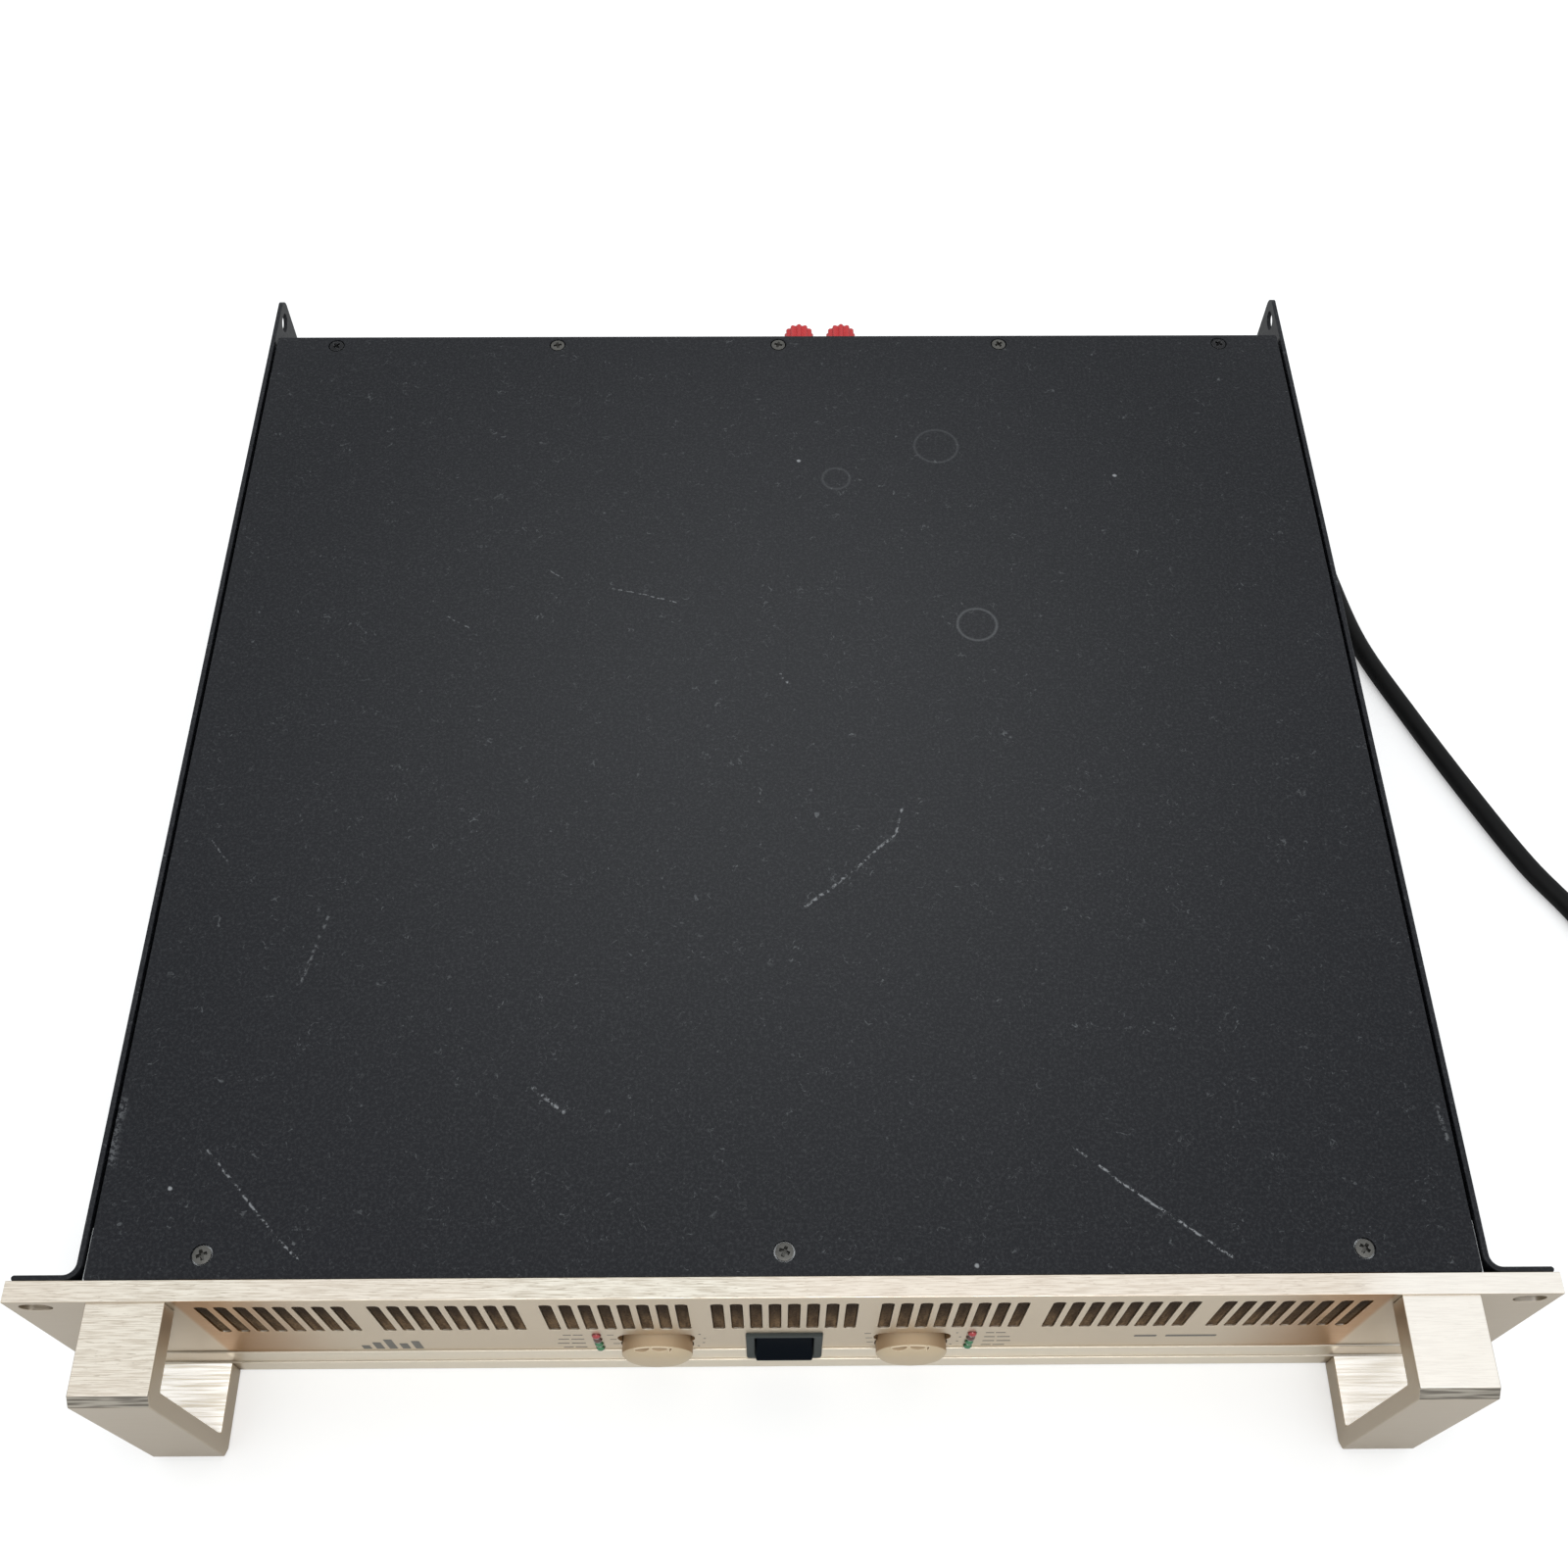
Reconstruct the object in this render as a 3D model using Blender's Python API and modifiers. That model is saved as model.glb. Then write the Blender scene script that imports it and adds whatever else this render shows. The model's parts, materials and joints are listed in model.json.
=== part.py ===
"""Two-unit rack-mount stereo power amplifier, as separate named pieces.

Frame: metres, +X to the right of the front panel, +Y towards the back, +Z up.
Origin: centre of the underside of the chassis, which is the face it rests on.
"""

import math

import bmesh
import bpy
from mathutils import Matrix

# Fits
GAP = 0.0003            # clearance between neighbouring pieces

# Front panel, a 19 inch, two-unit rack extrusion with two small ledges near its foot
PANEL_WIDTH = 0.4826
PANEL_HEIGHT = 0.0881
PANEL_THICKNESS = 0.0068
PANEL_FRONT = -0.2110   # Y of the main front face
PANEL_TOP = 0.0884      # Z of the top edge
LEDGE_STEP = 0.0006     # how far each ledge stands forward of the face above it
UPPER_LEDGE = 0.0650    # below the top edge
LOWER_LEDGE = 0.0774

# Air slots
SLOT_GROUPS = 7
SLOTS_IN_GROUP = 8
SLOT_PITCH = 0.00608
GROUP_PITCH = 0.05373
SLOT_WIDTH = 0.0040
SLOT_HEIGHT = 0.0319
SLOT_RADIUS = 0.0013
SLOT_CENTRE = 0.02285   # below the top edge

# Rack slots in the panel's ears
RACK_SLOT_LENGTH = 0.0104
RACK_SLOT_WIDTH = 0.0070
RACK_SLOT_X = 0.23255
RACK_SLOT_INSET = 0.00595

# Handles
HANDLE_X = 0.20335
HANDLE_WIDTH = 0.0247
HANDLE_REACH = 0.0304
HANDLE_TOP = 0.0010     # below the panel's top edge
HANDLE_BOTTOM = 0.0880
HANDLE_UPPER_ARM = 0.0100
HANDLE_LOWER_ARM = 0.0105
HANDLE_GRIP = 0.0059
HANDLE_CHAMFER = 0.0029
HANDLE_EDGE = 0.0004

# Chassis sheet metal
LID_TOP = PANEL_TOP - 0.0015
LID_SHEET = 0.0015
LID_HALF_WIDTH = 0.2180
BODY_BACK = 0.2045      # Y of the back edge of the lid
SIDE_OUTER = 0.2210
SIDE_SHEET = 0.0018
SIDE_BOTTOM = GAP
BEND_RADIUS = 0.0038
FLANGE_REACH = 0.2405
INNER_HALF_WIDTH = 0.2188
BASE_SHEET = 0.0018
BASE_LIP = 0.0140
REAR_SHEET = 0.0015
REAR_FACE = BODY_BACK - GAP
REAR_FLANGE = 0.0160
BRACE_DEPTH = 0.0170
BRACE_DROP = 0.0112

# Rear support ears, which are tongues of the side panels
EAR_BACK = 0.2295
EAR_HEIGHT = 0.0280
EAR_RADIUS = 0.0055
EAR_SLOT_LENGTH = 0.0090
EAR_SLOT_WIDTH = 0.0070
EAR_SLOT_Y = 0.2205
EAR_SLOT_INSET = 0.0070

# Cover screws
SCREW_HEAD = 0.0027
SCREW_SHANK = 0.0015
SCREW_LENGTH = 0.0060
FRONT_SCREW_Y = PANEL_FRONT + 0.0149
REAR_SCREW_Y = PANEL_FRONT + 0.4104
FRONT_SCREW_X = (-0.1825, 0.0, 0.1825)
REAR_SCREW_X = (-0.1920, -0.0960, 0.0, 0.0960, 0.1920)
CROSS_ANGLES = (20, 68, 52, 40, 12, 75, 30, 58)

# Air filter
FILTER_HALF_WIDTH = 0.2050
FILTER_THICKNESS = 0.0050
FILTER_TOP = 0.0052
FILTER_BOTTOM = 0.0415

# Level controls
KNOB_X = 0.0427
KNOB_DROP = 0.0582
KNOB_RADIUS = 0.0119
KNOB_HOLE = 0.0123
KNOB_CLEFT = (0.0258, 0.0110)
KNOB_CLEFT_DROP = 0.0505
KNOB_NOSE = 0.0064
KNOB_BACK = 0.0080
SHAFT_RADIUS = 0.0030
SHAFT_END = 0.0140
POT_RADIUS = 0.0080

# Power rocker switch
ROCKER_DROP = 0.0602
ROCKER_WIDTH = 0.0194
ROCKER_HALF_HEIGHT = 0.0120
ROCKER_PIVOT = 0.0070   # behind the panel's face
ROCKER_TILT = math.radians(7)
ROCKER_FRONT = 0.0019
ROCKER_HOLLOW = 0.0016
BEZEL_WIDTH = 0.0255
BEZEL_HEIGHT = 0.0313
HOUSING_WIDTH = 0.0218
HOUSING_HEIGHT = 0.0286
HOUSING_DEPTH = 0.0240
OPENING_WIDTH = 0.0200
OPENING_HEIGHT = 0.0268
OPENING_DEPTH = 0.0190

# Signal lamps
LAMP_X = 0.0623
LAMP_TOP = 0.0455
LAMP_PITCH = 0.0056
LAMP_RADIUS = 0.0015
LAMP_COUNT = 4
LAMP_COLOURS = ("lamp_red", "lamp_red", "lamp_green", "lamp_green")

# Front circuit board
BOARD = 0.0016
FRONT_BOARD_FACE = 0.0198

# Transformer, in the front half of the chassis
COIL_Y = -0.1050
COIL_OUTER = 0.0640
COIL_INNER = 0.0190
COIL_HEIGHT = 0.0560
COIL_BOTTOM = 0.0024
COIL_ROUND = 0.0120
BOLT_RADIUS = 0.0040

# Reservoir capacitors
CAPACITOR_X = 0.1050
CAPACITOR_Y = (-0.1500, -0.1050)
CAPACITOR_RADIUS = 0.0175
CAPACITOR_HEIGHT = 0.0500

# Cooling tunnel: two finned extrusions in front of the fan
FAN_X = -0.1450
FAN_SIZE = 0.0800
FAN_DEPTH = 0.0250
FAN_Z = 0.0428
FAN_BORE = 0.0380
FAN_BLADES = 7
SINK_BASE = 0.0050
SINK_FIN = 0.0345
SINK_FIN_THICKNESS = 0.0016
SINK_FINS = 7
SINK_Z = (0.0060, 0.0800)
SINK_Y = (-0.0300, 0.1700)
SINK_HALF_SPAN = 0.0420

# Speaker terminals
POST_X = (0.0095, 0.0285)
POST_ROWS = (0.0240, 0.0430)   # below the panel's top edge
POST_RADIUS = 0.0030
CAP_RADIUS = 0.0065
CAP_FLUTES = 12
CAP_NEAR = 0.2115
CAP_FAR = 0.2290

# Signal inputs
INPUT_X = (0.0850, 0.1250)
INPUT_Z = 0.0440

# Mains lead
GLAND_X = 0.1850
GLAND_Z = 0.0280
CABLE_RADIUS = 0.0040
PLUG_X = 0.3470
PLUG_Z = 0.0190

PARTS = "power_amplifier"
CUTTERS = "cutters"

# Rotations that stand a drawing in the XY plane up in another plane
PLANES = {
    "XY": (0.0, 0.0, 0.0),
    "XZ": (math.pi / 2, 0.0, 0.0),
    "YZ": (math.pi / 2, 0.0, math.pi / 2),
}
FACING_FRONT = (math.pi / 2, 0.0, 0.0)
FACING_BACK = (-math.pi / 2, 0.0, 0.0)

FINISHES = {
    "gold_aluminium": ((0.72, 0.63, 0.49), 0.9, 0.35),
    "black_steel": ((0.030, 0.031, 0.035), 0.1, 0.55),
    "grey_steel": ((0.30, 0.30, 0.31), 0.9, 0.35),
    "zinc_steel": ((0.55, 0.56, 0.58), 0.9, 0.35),
    "cream_plastic": ((0.60, 0.49, 0.34), 0.0, 0.40),
    "grey_plastic": ((0.055, 0.060, 0.062), 0.0, 0.50),
    "black_plastic": ((0.010, 0.012, 0.016), 0.0, 0.35),
    "red_plastic": ((0.55, 0.03, 0.04), 0.0, 0.35),
    "foam": ((0.060, 0.045, 0.028), 0.0, 0.95),
    "lamp_red": ((0.70, 0.02, 0.02), 0.0, 0.20),
    "lamp_green": ((0.02, 0.22, 0.06), 0.0, 0.20),
    "circuit_board": ((0.02, 0.12, 0.05), 0.0, 0.45),
    "copper": ((0.70, 0.32, 0.16), 0.9, 0.35),
    "capacitor_sleeve": ((0.02, 0.03, 0.09), 0.0, 0.35),
    "raw_aluminium": ((0.62, 0.63, 0.64), 0.95, 0.35),
    "rubber": ((0.012, 0.012, 0.013), 0.0, 0.60),
}


def below(distance):
    """Height of a point that is this far below the panel's top edge."""
    return PANEL_TOP - distance


def behind(distance):
    """Y of a point that is this far behind the panel's main face."""
    return PANEL_FRONT + distance


def clear_scene():
    for obj in list(bpy.data.objects):
        bpy.data.objects.remove(obj, do_unlink=True)


def collection(name):
    found = bpy.data.collections.get(name)
    if found is None:
        found = bpy.data.collections.new(name)
        bpy.context.scene.collection.children.link(found)
    return found


def finish(name):
    """Return the named material, and make it the first time it is asked for."""
    found = bpy.data.materials.get(name)
    if found is not None:
        return found
    colour, metallic, roughness = FINISHES[name]
    material = bpy.data.materials.new(name)
    material.use_nodes = True
    shader = material.node_tree.nodes["Principled BSDF"]
    shader.inputs["Base Color"].default_value = (*colour, 1.0)
    shader.inputs["Metallic"].default_value = metallic
    shader.inputs["Roughness"].default_value = roughness
    material.diffuse_color = (*colour, 1.0)
    return material


def place(name, mesh, location, rotation, material):
    """Put a mesh in the scene; one with no material is a cutter."""
    obj = bpy.data.objects.new(name, mesh)
    obj.location = location
    obj.rotation_euler = rotation
    if material is None:
        collection(CUTTERS).objects.link(obj)
        obj.hide_render = True
        obj.display_type = "WIRE"
    else:
        collection(PARTS).objects.link(obj)
        mesh.materials.append(finish(material))
    return obj


def box(name, size, centre, material=None, rotation=(0.0, 0.0, 0.0)):
    mesh = bpy.data.meshes.new(name)
    shape = bmesh.new()
    bmesh.ops.create_cube(shape, size=1.0, matrix=Matrix.Diagonal((*size, 1.0)))
    shape.to_mesh(mesh)
    shape.free()
    return place(name, mesh, centre, rotation, material)


def cylinder(name, radius, length, centre, material=None, rotation=(0.0, 0.0, 0.0), segments=24):
    mesh = bpy.data.meshes.new(name)
    shape = bmesh.new()
    bmesh.ops.create_cone(
        shape, cap_ends=True, segments=segments, radius1=radius, radius2=radius, depth=length
    )
    shape.to_mesh(mesh)
    shape.free()
    smooth(mesh)
    return place(name, mesh, centre, rotation, material)


def smooth(mesh):
    mesh.shade_smooth()
    mesh.set_sharp_from_angle(angle=math.radians(35))


def outline_solid(name, loops, thickness, centre, plane, material=None):
    """Extrude closed outlines, drawn in a plane, by a thickness about their centre."""
    curve = bpy.data.curves.new(name, "CURVE")
    curve.dimensions = "2D"
    curve.fill_mode = "BOTH"
    curve.extrude = thickness / 2
    for loop in loops:
        spline = curve.splines.new("POLY")
        spline.points.add(len(loop) - 1)
        for point, (across, up) in zip(spline.points, loop):
            point.co = (across, up, 0.0, 1.0)
        spline.use_cyclic_u = True
    drawn = bpy.data.objects.new(name, curve)
    drawn.location = centre
    drawn.rotation_euler = PLANES[plane]
    return mesh_from_curve(drawn, name, material)


def mesh_from_curve(drawn, name, material):
    """Replace a curve object with a closed mesh object in the same place."""
    collection(PARTS).objects.link(drawn)
    bpy.context.view_layer.update()
    evaluated = drawn.evaluated_get(bpy.context.evaluated_depsgraph_get())
    mesh = bpy.data.meshes.new_from_object(evaluated)
    mesh.materials.clear()
    shape = bmesh.new()
    shape.from_mesh(mesh)
    bmesh.ops.remove_doubles(shape, verts=shape.verts, dist=1e-6)
    bmesh.ops.recalc_face_normals(shape, faces=shape.faces)
    shape.to_mesh(mesh)
    shape.free()
    smooth(mesh)
    matrix = drawn.matrix_world.copy()
    bpy.data.objects.remove(drawn, do_unlink=True)
    solid = place(name, mesh, (0.0, 0.0, 0.0), (0.0, 0.0, 0.0), material)
    solid.matrix_world = matrix
    return solid


def turned(name, profile, location, rotation, material=None, segments=24, closed=False):
    """Turn a profile of (radius, height) points, listed down its outer side, about local Z."""
    points = [(radius, 0.0, height) for radius, height in profile]
    edges = [(i, i + 1) for i in range(len(points) - 1)]
    if closed:
        edges.append((len(points) - 1, 0))
    mesh = bpy.data.meshes.new(name)
    mesh.from_pydata(points, edges, [])
    obj = place(name, mesh, location, rotation, material)
    screw = obj.modifiers.new("turn", "SCREW")
    screw.axis = "Z"
    screw.angle = math.tau
    screw.screw_offset = 0.0
    screw.steps = segments
    screw.render_steps = segments
    screw.use_merge_vertices = True
    screw.merge_threshold = 0.00001
    screw.use_smooth_shade = True
    return obj


def combine(target, other, operation="DIFFERENCE"):
    modifier = target.modifiers.new(other.name, "BOOLEAN")
    modifier.operation = operation
    modifier.solver = "EXACT"
    modifier.object = other


def round_edges(obj, width, segments=1):
    modifier = obj.modifiers.new("edges", "BEVEL")
    modifier.width = width
    modifier.segments = segments
    modifier.limit_method = "ANGLE"
    modifier.angle_limit = math.radians(40)


def arc(centre, radius, start, stop, steps):
    """Points on an arc, in degrees from +X, counter-clockwise when stop is above start."""
    points = []
    for i in range(steps + 1):
        angle = math.radians(start + (stop - start) * i / steps)
        points.append((centre[0] + radius * math.cos(angle), centre[1] + radius * math.sin(angle)))
    return points


def circle(centre, radius, segments=24):
    return arc(centre, radius, 0, 360, segments)[:-1]


def rounded_rectangle(centre, width, height, radius, steps):
    across = width / 2 - radius
    up = height / 2 - radius
    corners = ((across, up, 0), (-across, up, 90), (-across, -up, 180), (across, -up, 270))
    points = []
    for dx, dy, start in corners:
        middle = (centre[0] + dx, centre[1] + dy)
        points += arc(middle, radius, start, start + 90, steps)
    return points


def oval(centre, length, width, steps=6):
    """A slot with round ends, longest along the first axis."""
    reach = (length - width) / 2
    right = arc((centre[0] + reach, centre[1]), width / 2, -90, 90, steps)
    left = arc((centre[0] - reach, centre[1]), width / 2, 90, 270, steps)
    return right + left


def slot_outlines():
    loops = []
    for group in range(SLOT_GROUPS):
        middle = (group - (SLOT_GROUPS - 1) / 2) * GROUP_PITCH
        for index in range(SLOTS_IN_GROUP):
            x = middle + (index - (SLOTS_IN_GROUP - 1) / 2) * SLOT_PITCH
            centre = (x, below(SLOT_CENTRE))
            loops.append(rounded_rectangle(centre, SLOT_WIDTH, SLOT_HEIGHT, SLOT_RADIUS, 1))
    return loops


def rack_slot_outlines(side=0):
    """Round-ended slots for the rack bolts; side picks the left or right pair, 0 both."""
    loops = []
    for x in (-RACK_SLOT_X, RACK_SLOT_X):
        if x * side < 0:
            continue
        for z in (below(RACK_SLOT_INSET), below(PANEL_HEIGHT - RACK_SLOT_INSET)):
            loops.append(oval((x, z), RACK_SLOT_LENGTH, RACK_SLOT_WIDTH, 4))
    return loops


def lamp_height(index):
    return below(LAMP_TOP + index * LAMP_PITCH)


def front_panel():
    foot = below(PANEL_HEIGHT)
    profile = [
        (behind(0.0), PANEL_TOP),
        (behind(0.0), below(UPPER_LEDGE)),
        (behind(-LEDGE_STEP), below(UPPER_LEDGE)),
        (behind(-LEDGE_STEP), below(LOWER_LEDGE)),
        (behind(-2 * LEDGE_STEP), below(LOWER_LEDGE)),
        (behind(-2 * LEDGE_STEP), foot),
        (behind(PANEL_THICKNESS), foot),
        (behind(PANEL_THICKNESS), PANEL_TOP),
    ]
    panel = outline_solid(
        "front_panel", [profile], PANEL_WIDTH, (0.0, 0.0, 0.0), "YZ", "gold_aluminium"
    )
    openings = slot_outlines() + rack_slot_outlines()
    for x in (-KNOB_X, KNOB_X):
        openings.append(circle((x, below(KNOB_DROP)), KNOB_HOLE, 32))
    for x in (-LAMP_X, LAMP_X):
        for index in range(LAMP_COUNT):
            openings.append(circle((x, lamp_height(index)), LAMP_RADIUS + GAP, 12))
    openings.append(
        rounded_rectangle(
            (0.0, below(ROCKER_DROP)), HOUSING_WIDTH + 0.0008, HOUSING_HEIGHT + 0.0008, 0.0003, 1
        )
    )
    depth = 4 * PANEL_THICKNESS
    combine(panel, outline_solid("panel_openings", openings, depth, (0.0, behind(0.0), 0.0), "XZ"))
    for x in (-KNOB_X, KNOB_X):
        cleft = rounded_rectangle((x, below(KNOB_CLEFT_DROP)), *KNOB_CLEFT, 0.0050, 4)
        combine(panel, outline_solid("knob_cleft", [cleft], depth, (0.0, behind(0.0), 0.0), "XZ"))
    seat = box(
        "bezel_seat",
        (BEZEL_WIDTH + 0.0008, 0.0100, BEZEL_HEIGHT + 0.0008),
        (0.0, behind(0.0004 - 0.0050), below(ROCKER_DROP)),
    )
    combine(panel, seat)


def handle(name, x):
    """A slice of a C-shaped extrusion, with its front corners cut at 45 degrees."""
    top = below(HANDLE_TOP)
    bottom = below(HANDLE_BOTTOM)
    front = behind(-HANDLE_REACH)
    upper_root = behind(-GAP)
    lower_root = behind(-2 * LEDGE_STEP - GAP)
    profile = [
        (upper_root, top),
        (front + HANDLE_CHAMFER, top),
        (front, top - HANDLE_CHAMFER),
        (front, bottom + HANDLE_CHAMFER),
        (front + HANDLE_CHAMFER, bottom),
        (lower_root, bottom),
        (lower_root, bottom + HANDLE_LOWER_ARM),
        (front + HANDLE_GRIP, bottom + HANDLE_LOWER_ARM),
        (front + HANDLE_GRIP, top - HANDLE_UPPER_ARM),
        (upper_root, top - HANDLE_UPPER_ARM),
    ]
    solid = outline_solid(name, [profile], HANDLE_WIDTH, (x, 0.0, 0.0), "YZ", "gold_aluminium")
    round_edges(solid, HANDLE_EDGE)


def side_panel(name, side):
    """Sheet with a front flange bent outward for the rack rail, and two tongues at the back."""
    front = behind(PANEL_THICKNESS + GAP)
    outer = SIDE_OUTER
    inner = SIDE_OUTER - SIDE_SHEET
    bend = (outer + BEND_RADIUS, front + SIDE_SHEET + BEND_RADIUS)
    section = [(inner, EAR_BACK + 0.010), (inner, bend[1])]
    section += arc(bend, BEND_RADIUS + SIDE_SHEET, 180, 270, 4)[1:]
    section += [(FLANGE_REACH, front), (FLANGE_REACH, front + SIDE_SHEET)]
    section += arc(bend, BEND_RADIUS, 270, 180, 4)
    section += [(outer, EAR_BACK + 0.010)]
    section = [(side * x, y) for x, y in section]
    sheet = outline_solid(name, [section], 0.12, (0.0, 0.0, 0.04), "XY", "black_steel")

    low = SIDE_BOTTOM
    high = LID_TOP
    start = front - 0.010
    notch = BODY_BACK
    silhouette = [(start, high)]
    silhouette += arc((EAR_BACK - EAR_RADIUS, high - EAR_RADIUS), EAR_RADIUS, 90, 0, 4)
    silhouette += arc((EAR_BACK - 0.002, high - EAR_HEIGHT + 0.002), 0.002, 0, -90, 2)
    silhouette += [(notch, high - EAR_HEIGHT), (notch, low + EAR_HEIGHT)]
    silhouette += arc((EAR_BACK - 0.002, low + EAR_HEIGHT - 0.002), 0.002, 90, 0, 2)
    silhouette += arc((EAR_BACK - EAR_RADIUS, low + EAR_RADIUS), EAR_RADIUS, 0, -90, 4)
    silhouette += [(start, low)]
    holes = []
    for z in (high - EAR_SLOT_INSET, low + EAR_SLOT_INSET):
        holes.append(oval((EAR_SLOT_Y, z), EAR_SLOT_LENGTH, EAR_SLOT_WIDTH, 4))
    keep = outline_solid(
        name + "_silhouette", [silhouette] + holes, 0.08, (side * 0.230, 0.0, 0.0), "YZ"
    )
    combine(sheet, keep, "INTERSECT")
    bolts = outline_solid(
        name + "_rack_slots", rack_slot_outlines(side), 0.03, (0.0, front, 0.0), "XZ"
    )
    combine(sheet, bolts)


def screw_places():
    """Every cover screw as (name, x, y)."""
    rows = (("front", FRONT_SCREW_X, FRONT_SCREW_Y), ("rear", REAR_SCREW_X, REAR_SCREW_Y))
    places = []
    for row, across, y in rows:
        for number, x in enumerate(across, start=1):
            places.append((f"cover_screw_{row}_{number}", x, y))
    return places


def shank_holes(name, places, z):
    loops = [circle((x, y), SCREW_SHANK + GAP, 12) for _, x, y in places]
    return outline_solid(name, loops, 0.010, (0.0, 0.0, z), "XY")


def top_cover():
    front = behind(PANEL_THICKNESS + GAP)
    length = BODY_BACK - front
    lid = box(
        "top_cover",
        (2 * LID_HALF_WIDTH, length, LID_SHEET),
        (0.0, front + length / 2, LID_TOP - LID_SHEET / 2),
        "black_steel",
    )
    mouth = SCREW_HEAD + 0.0004
    neck = SCREW_SHANK + 0.0004
    seat = [(0, 0.001), (mouth, 0.001), (mouth, -0.0004), (neck, -0.0016), (neck, -0.004), (0, -0.004)]
    for name, x, y in screw_places():
        countersink = turned(name + "_seat", seat, (x, y, LID_TOP), (0, 0, 0), None, 12)
        combine(lid, countersink)


def cover_screw(name, x, y, angle):
    """Countersunk machine screw with a cross recess, flush with the lid."""
    profile = [
        (0, 0), (SCREW_HEAD, 0), (SCREW_HEAD, -0.0003),
        (SCREW_SHANK, -0.0015), (SCREW_SHANK, -SCREW_LENGTH), (0, -SCREW_LENGTH),
    ]
    turn = (0.0, 0.0, math.radians(angle))
    screw = turned(name, profile, (x, y, LID_TOP - 0.0001), turn, "grey_steel", 12)
    wing = 0.0017
    half = 0.00035
    cross = [
        (wing, -half), (wing, half), (half, half), (half, wing), (-half, wing), (-half, half),
        (-wing, half), (-wing, -half), (-half, -half), (-half, -wing), (half, -wing), (half, -half),
    ]
    turned_cross = [
        (a * math.cos(turn[2]) - b * math.sin(turn[2]), a * math.sin(turn[2]) + b * math.cos(turn[2]))
        for a, b in cross
    ]
    recess = outline_solid(name + "_recess", [turned_cross], 0.0022, (x, y, LID_TOP), "XY")
    combine(screw, recess)


def chassis_base():
    front = behind(PANEL_THICKNESS + GAP)
    back = REAR_FACE - REAR_SHEET - GAP
    half = INNER_HALF_WIDTH
    section = [
        (-half, 0), (half, 0), (half, BASE_LIP), (half - BASE_SHEET, BASE_LIP),
        (half - BASE_SHEET, BASE_SHEET), (BASE_SHEET - half, BASE_SHEET),
        (BASE_SHEET - half, BASE_LIP), (-half, BASE_LIP),
    ]
    middle = (0.0, (front + back) / 2, 0.0)
    base = outline_solid("chassis_base", [section], back - front, middle, "XZ", "black_steel")
    combine(base, cylinder("base_bolt_hole", BOLT_RADIUS + GAP, 0.02, (0.0, COIL_Y, 0.0), segments=16))


def front_brace():
    """Angle strip under the front of the lid, which takes the front cover screws."""
    near = behind(PANEL_THICKNESS + GAP)
    far = near + BRACE_DEPTH
    top = LID_TOP - LID_SHEET - GAP
    section = [
        (near, top), (near, top - REAR_SHEET), (far - REAR_SHEET, top - REAR_SHEET),
        (far - REAR_SHEET, top - BRACE_DROP), (far, top - BRACE_DROP), (far, top),
    ]
    width = 2 * INNER_HALF_WIDTH
    brace = outline_solid("front_brace", [section], width, (0, 0, 0), "YZ", "zinc_steel")
    combine(brace, shank_holes("front_brace_holes", screw_places()[:3], top))


def fan_grille_outlines():
    """Upright air slots clipped to the circle of the fan's bore."""
    loops = []
    pitch = 0.0062
    for index in range(-5, 6):
        x = index * pitch
        reach = math.sqrt((FAN_BORE - 0.002) ** 2 - x * x)
        for z, height in ((reach / 2 + 0.001, reach - 0.002), (-reach / 2 - 0.001, reach - 0.002)):
            loops.append(rounded_rectangle((FAN_X + x, FAN_Z + z), SLOT_WIDTH, height, 0.0013, 1))
    return loops


def rear_panel():
    top = LID_TOP - LID_SHEET - GAP
    inside = REAR_FACE - REAR_SHEET
    section = [
        (REAR_FACE, top), (REAR_FACE - REAR_FLANGE, top), (REAR_FACE - REAR_FLANGE, top - REAR_SHEET),
        (inside, top - REAR_SHEET), (inside, GAP), (REAR_FACE, GAP),
    ]
    width = 2 * INNER_HALF_WIDTH
    panel = outline_solid("rear_panel", [section], width, (0, 0, 0), "YZ", "black_steel")
    combine(panel, shank_holes("rear_flange_holes", screw_places()[3:], top))
    openings = fan_grille_outlines()
    middle = (sum(POST_X) / 2, below(sum(POST_ROWS) / 2))
    openings.append(rounded_rectangle(middle, 0.0360, 0.0360, 0.0003, 1))
    for x in INPUT_X:
        openings.append(circle((x, INPUT_Z), 0.0122, 20))
    openings.append(circle((GLAND_X, GLAND_Z), 0.0074, 16))
    combine(panel, outline_solid("rear_openings", openings, 0.012, (0, REAR_FACE, 0), "XZ"))


def air_filter():
    height = FILTER_BOTTOM - FILTER_TOP
    near = behind(PANEL_THICKNESS + GAP)
    box(
        "air_filter",
        (2 * FILTER_HALF_WIDTH, FILTER_THICKNESS, height),
        (0.0, near + FILTER_THICKNESS / 2, below(FILTER_TOP + height / 2)),
        "foam",
    )


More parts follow.
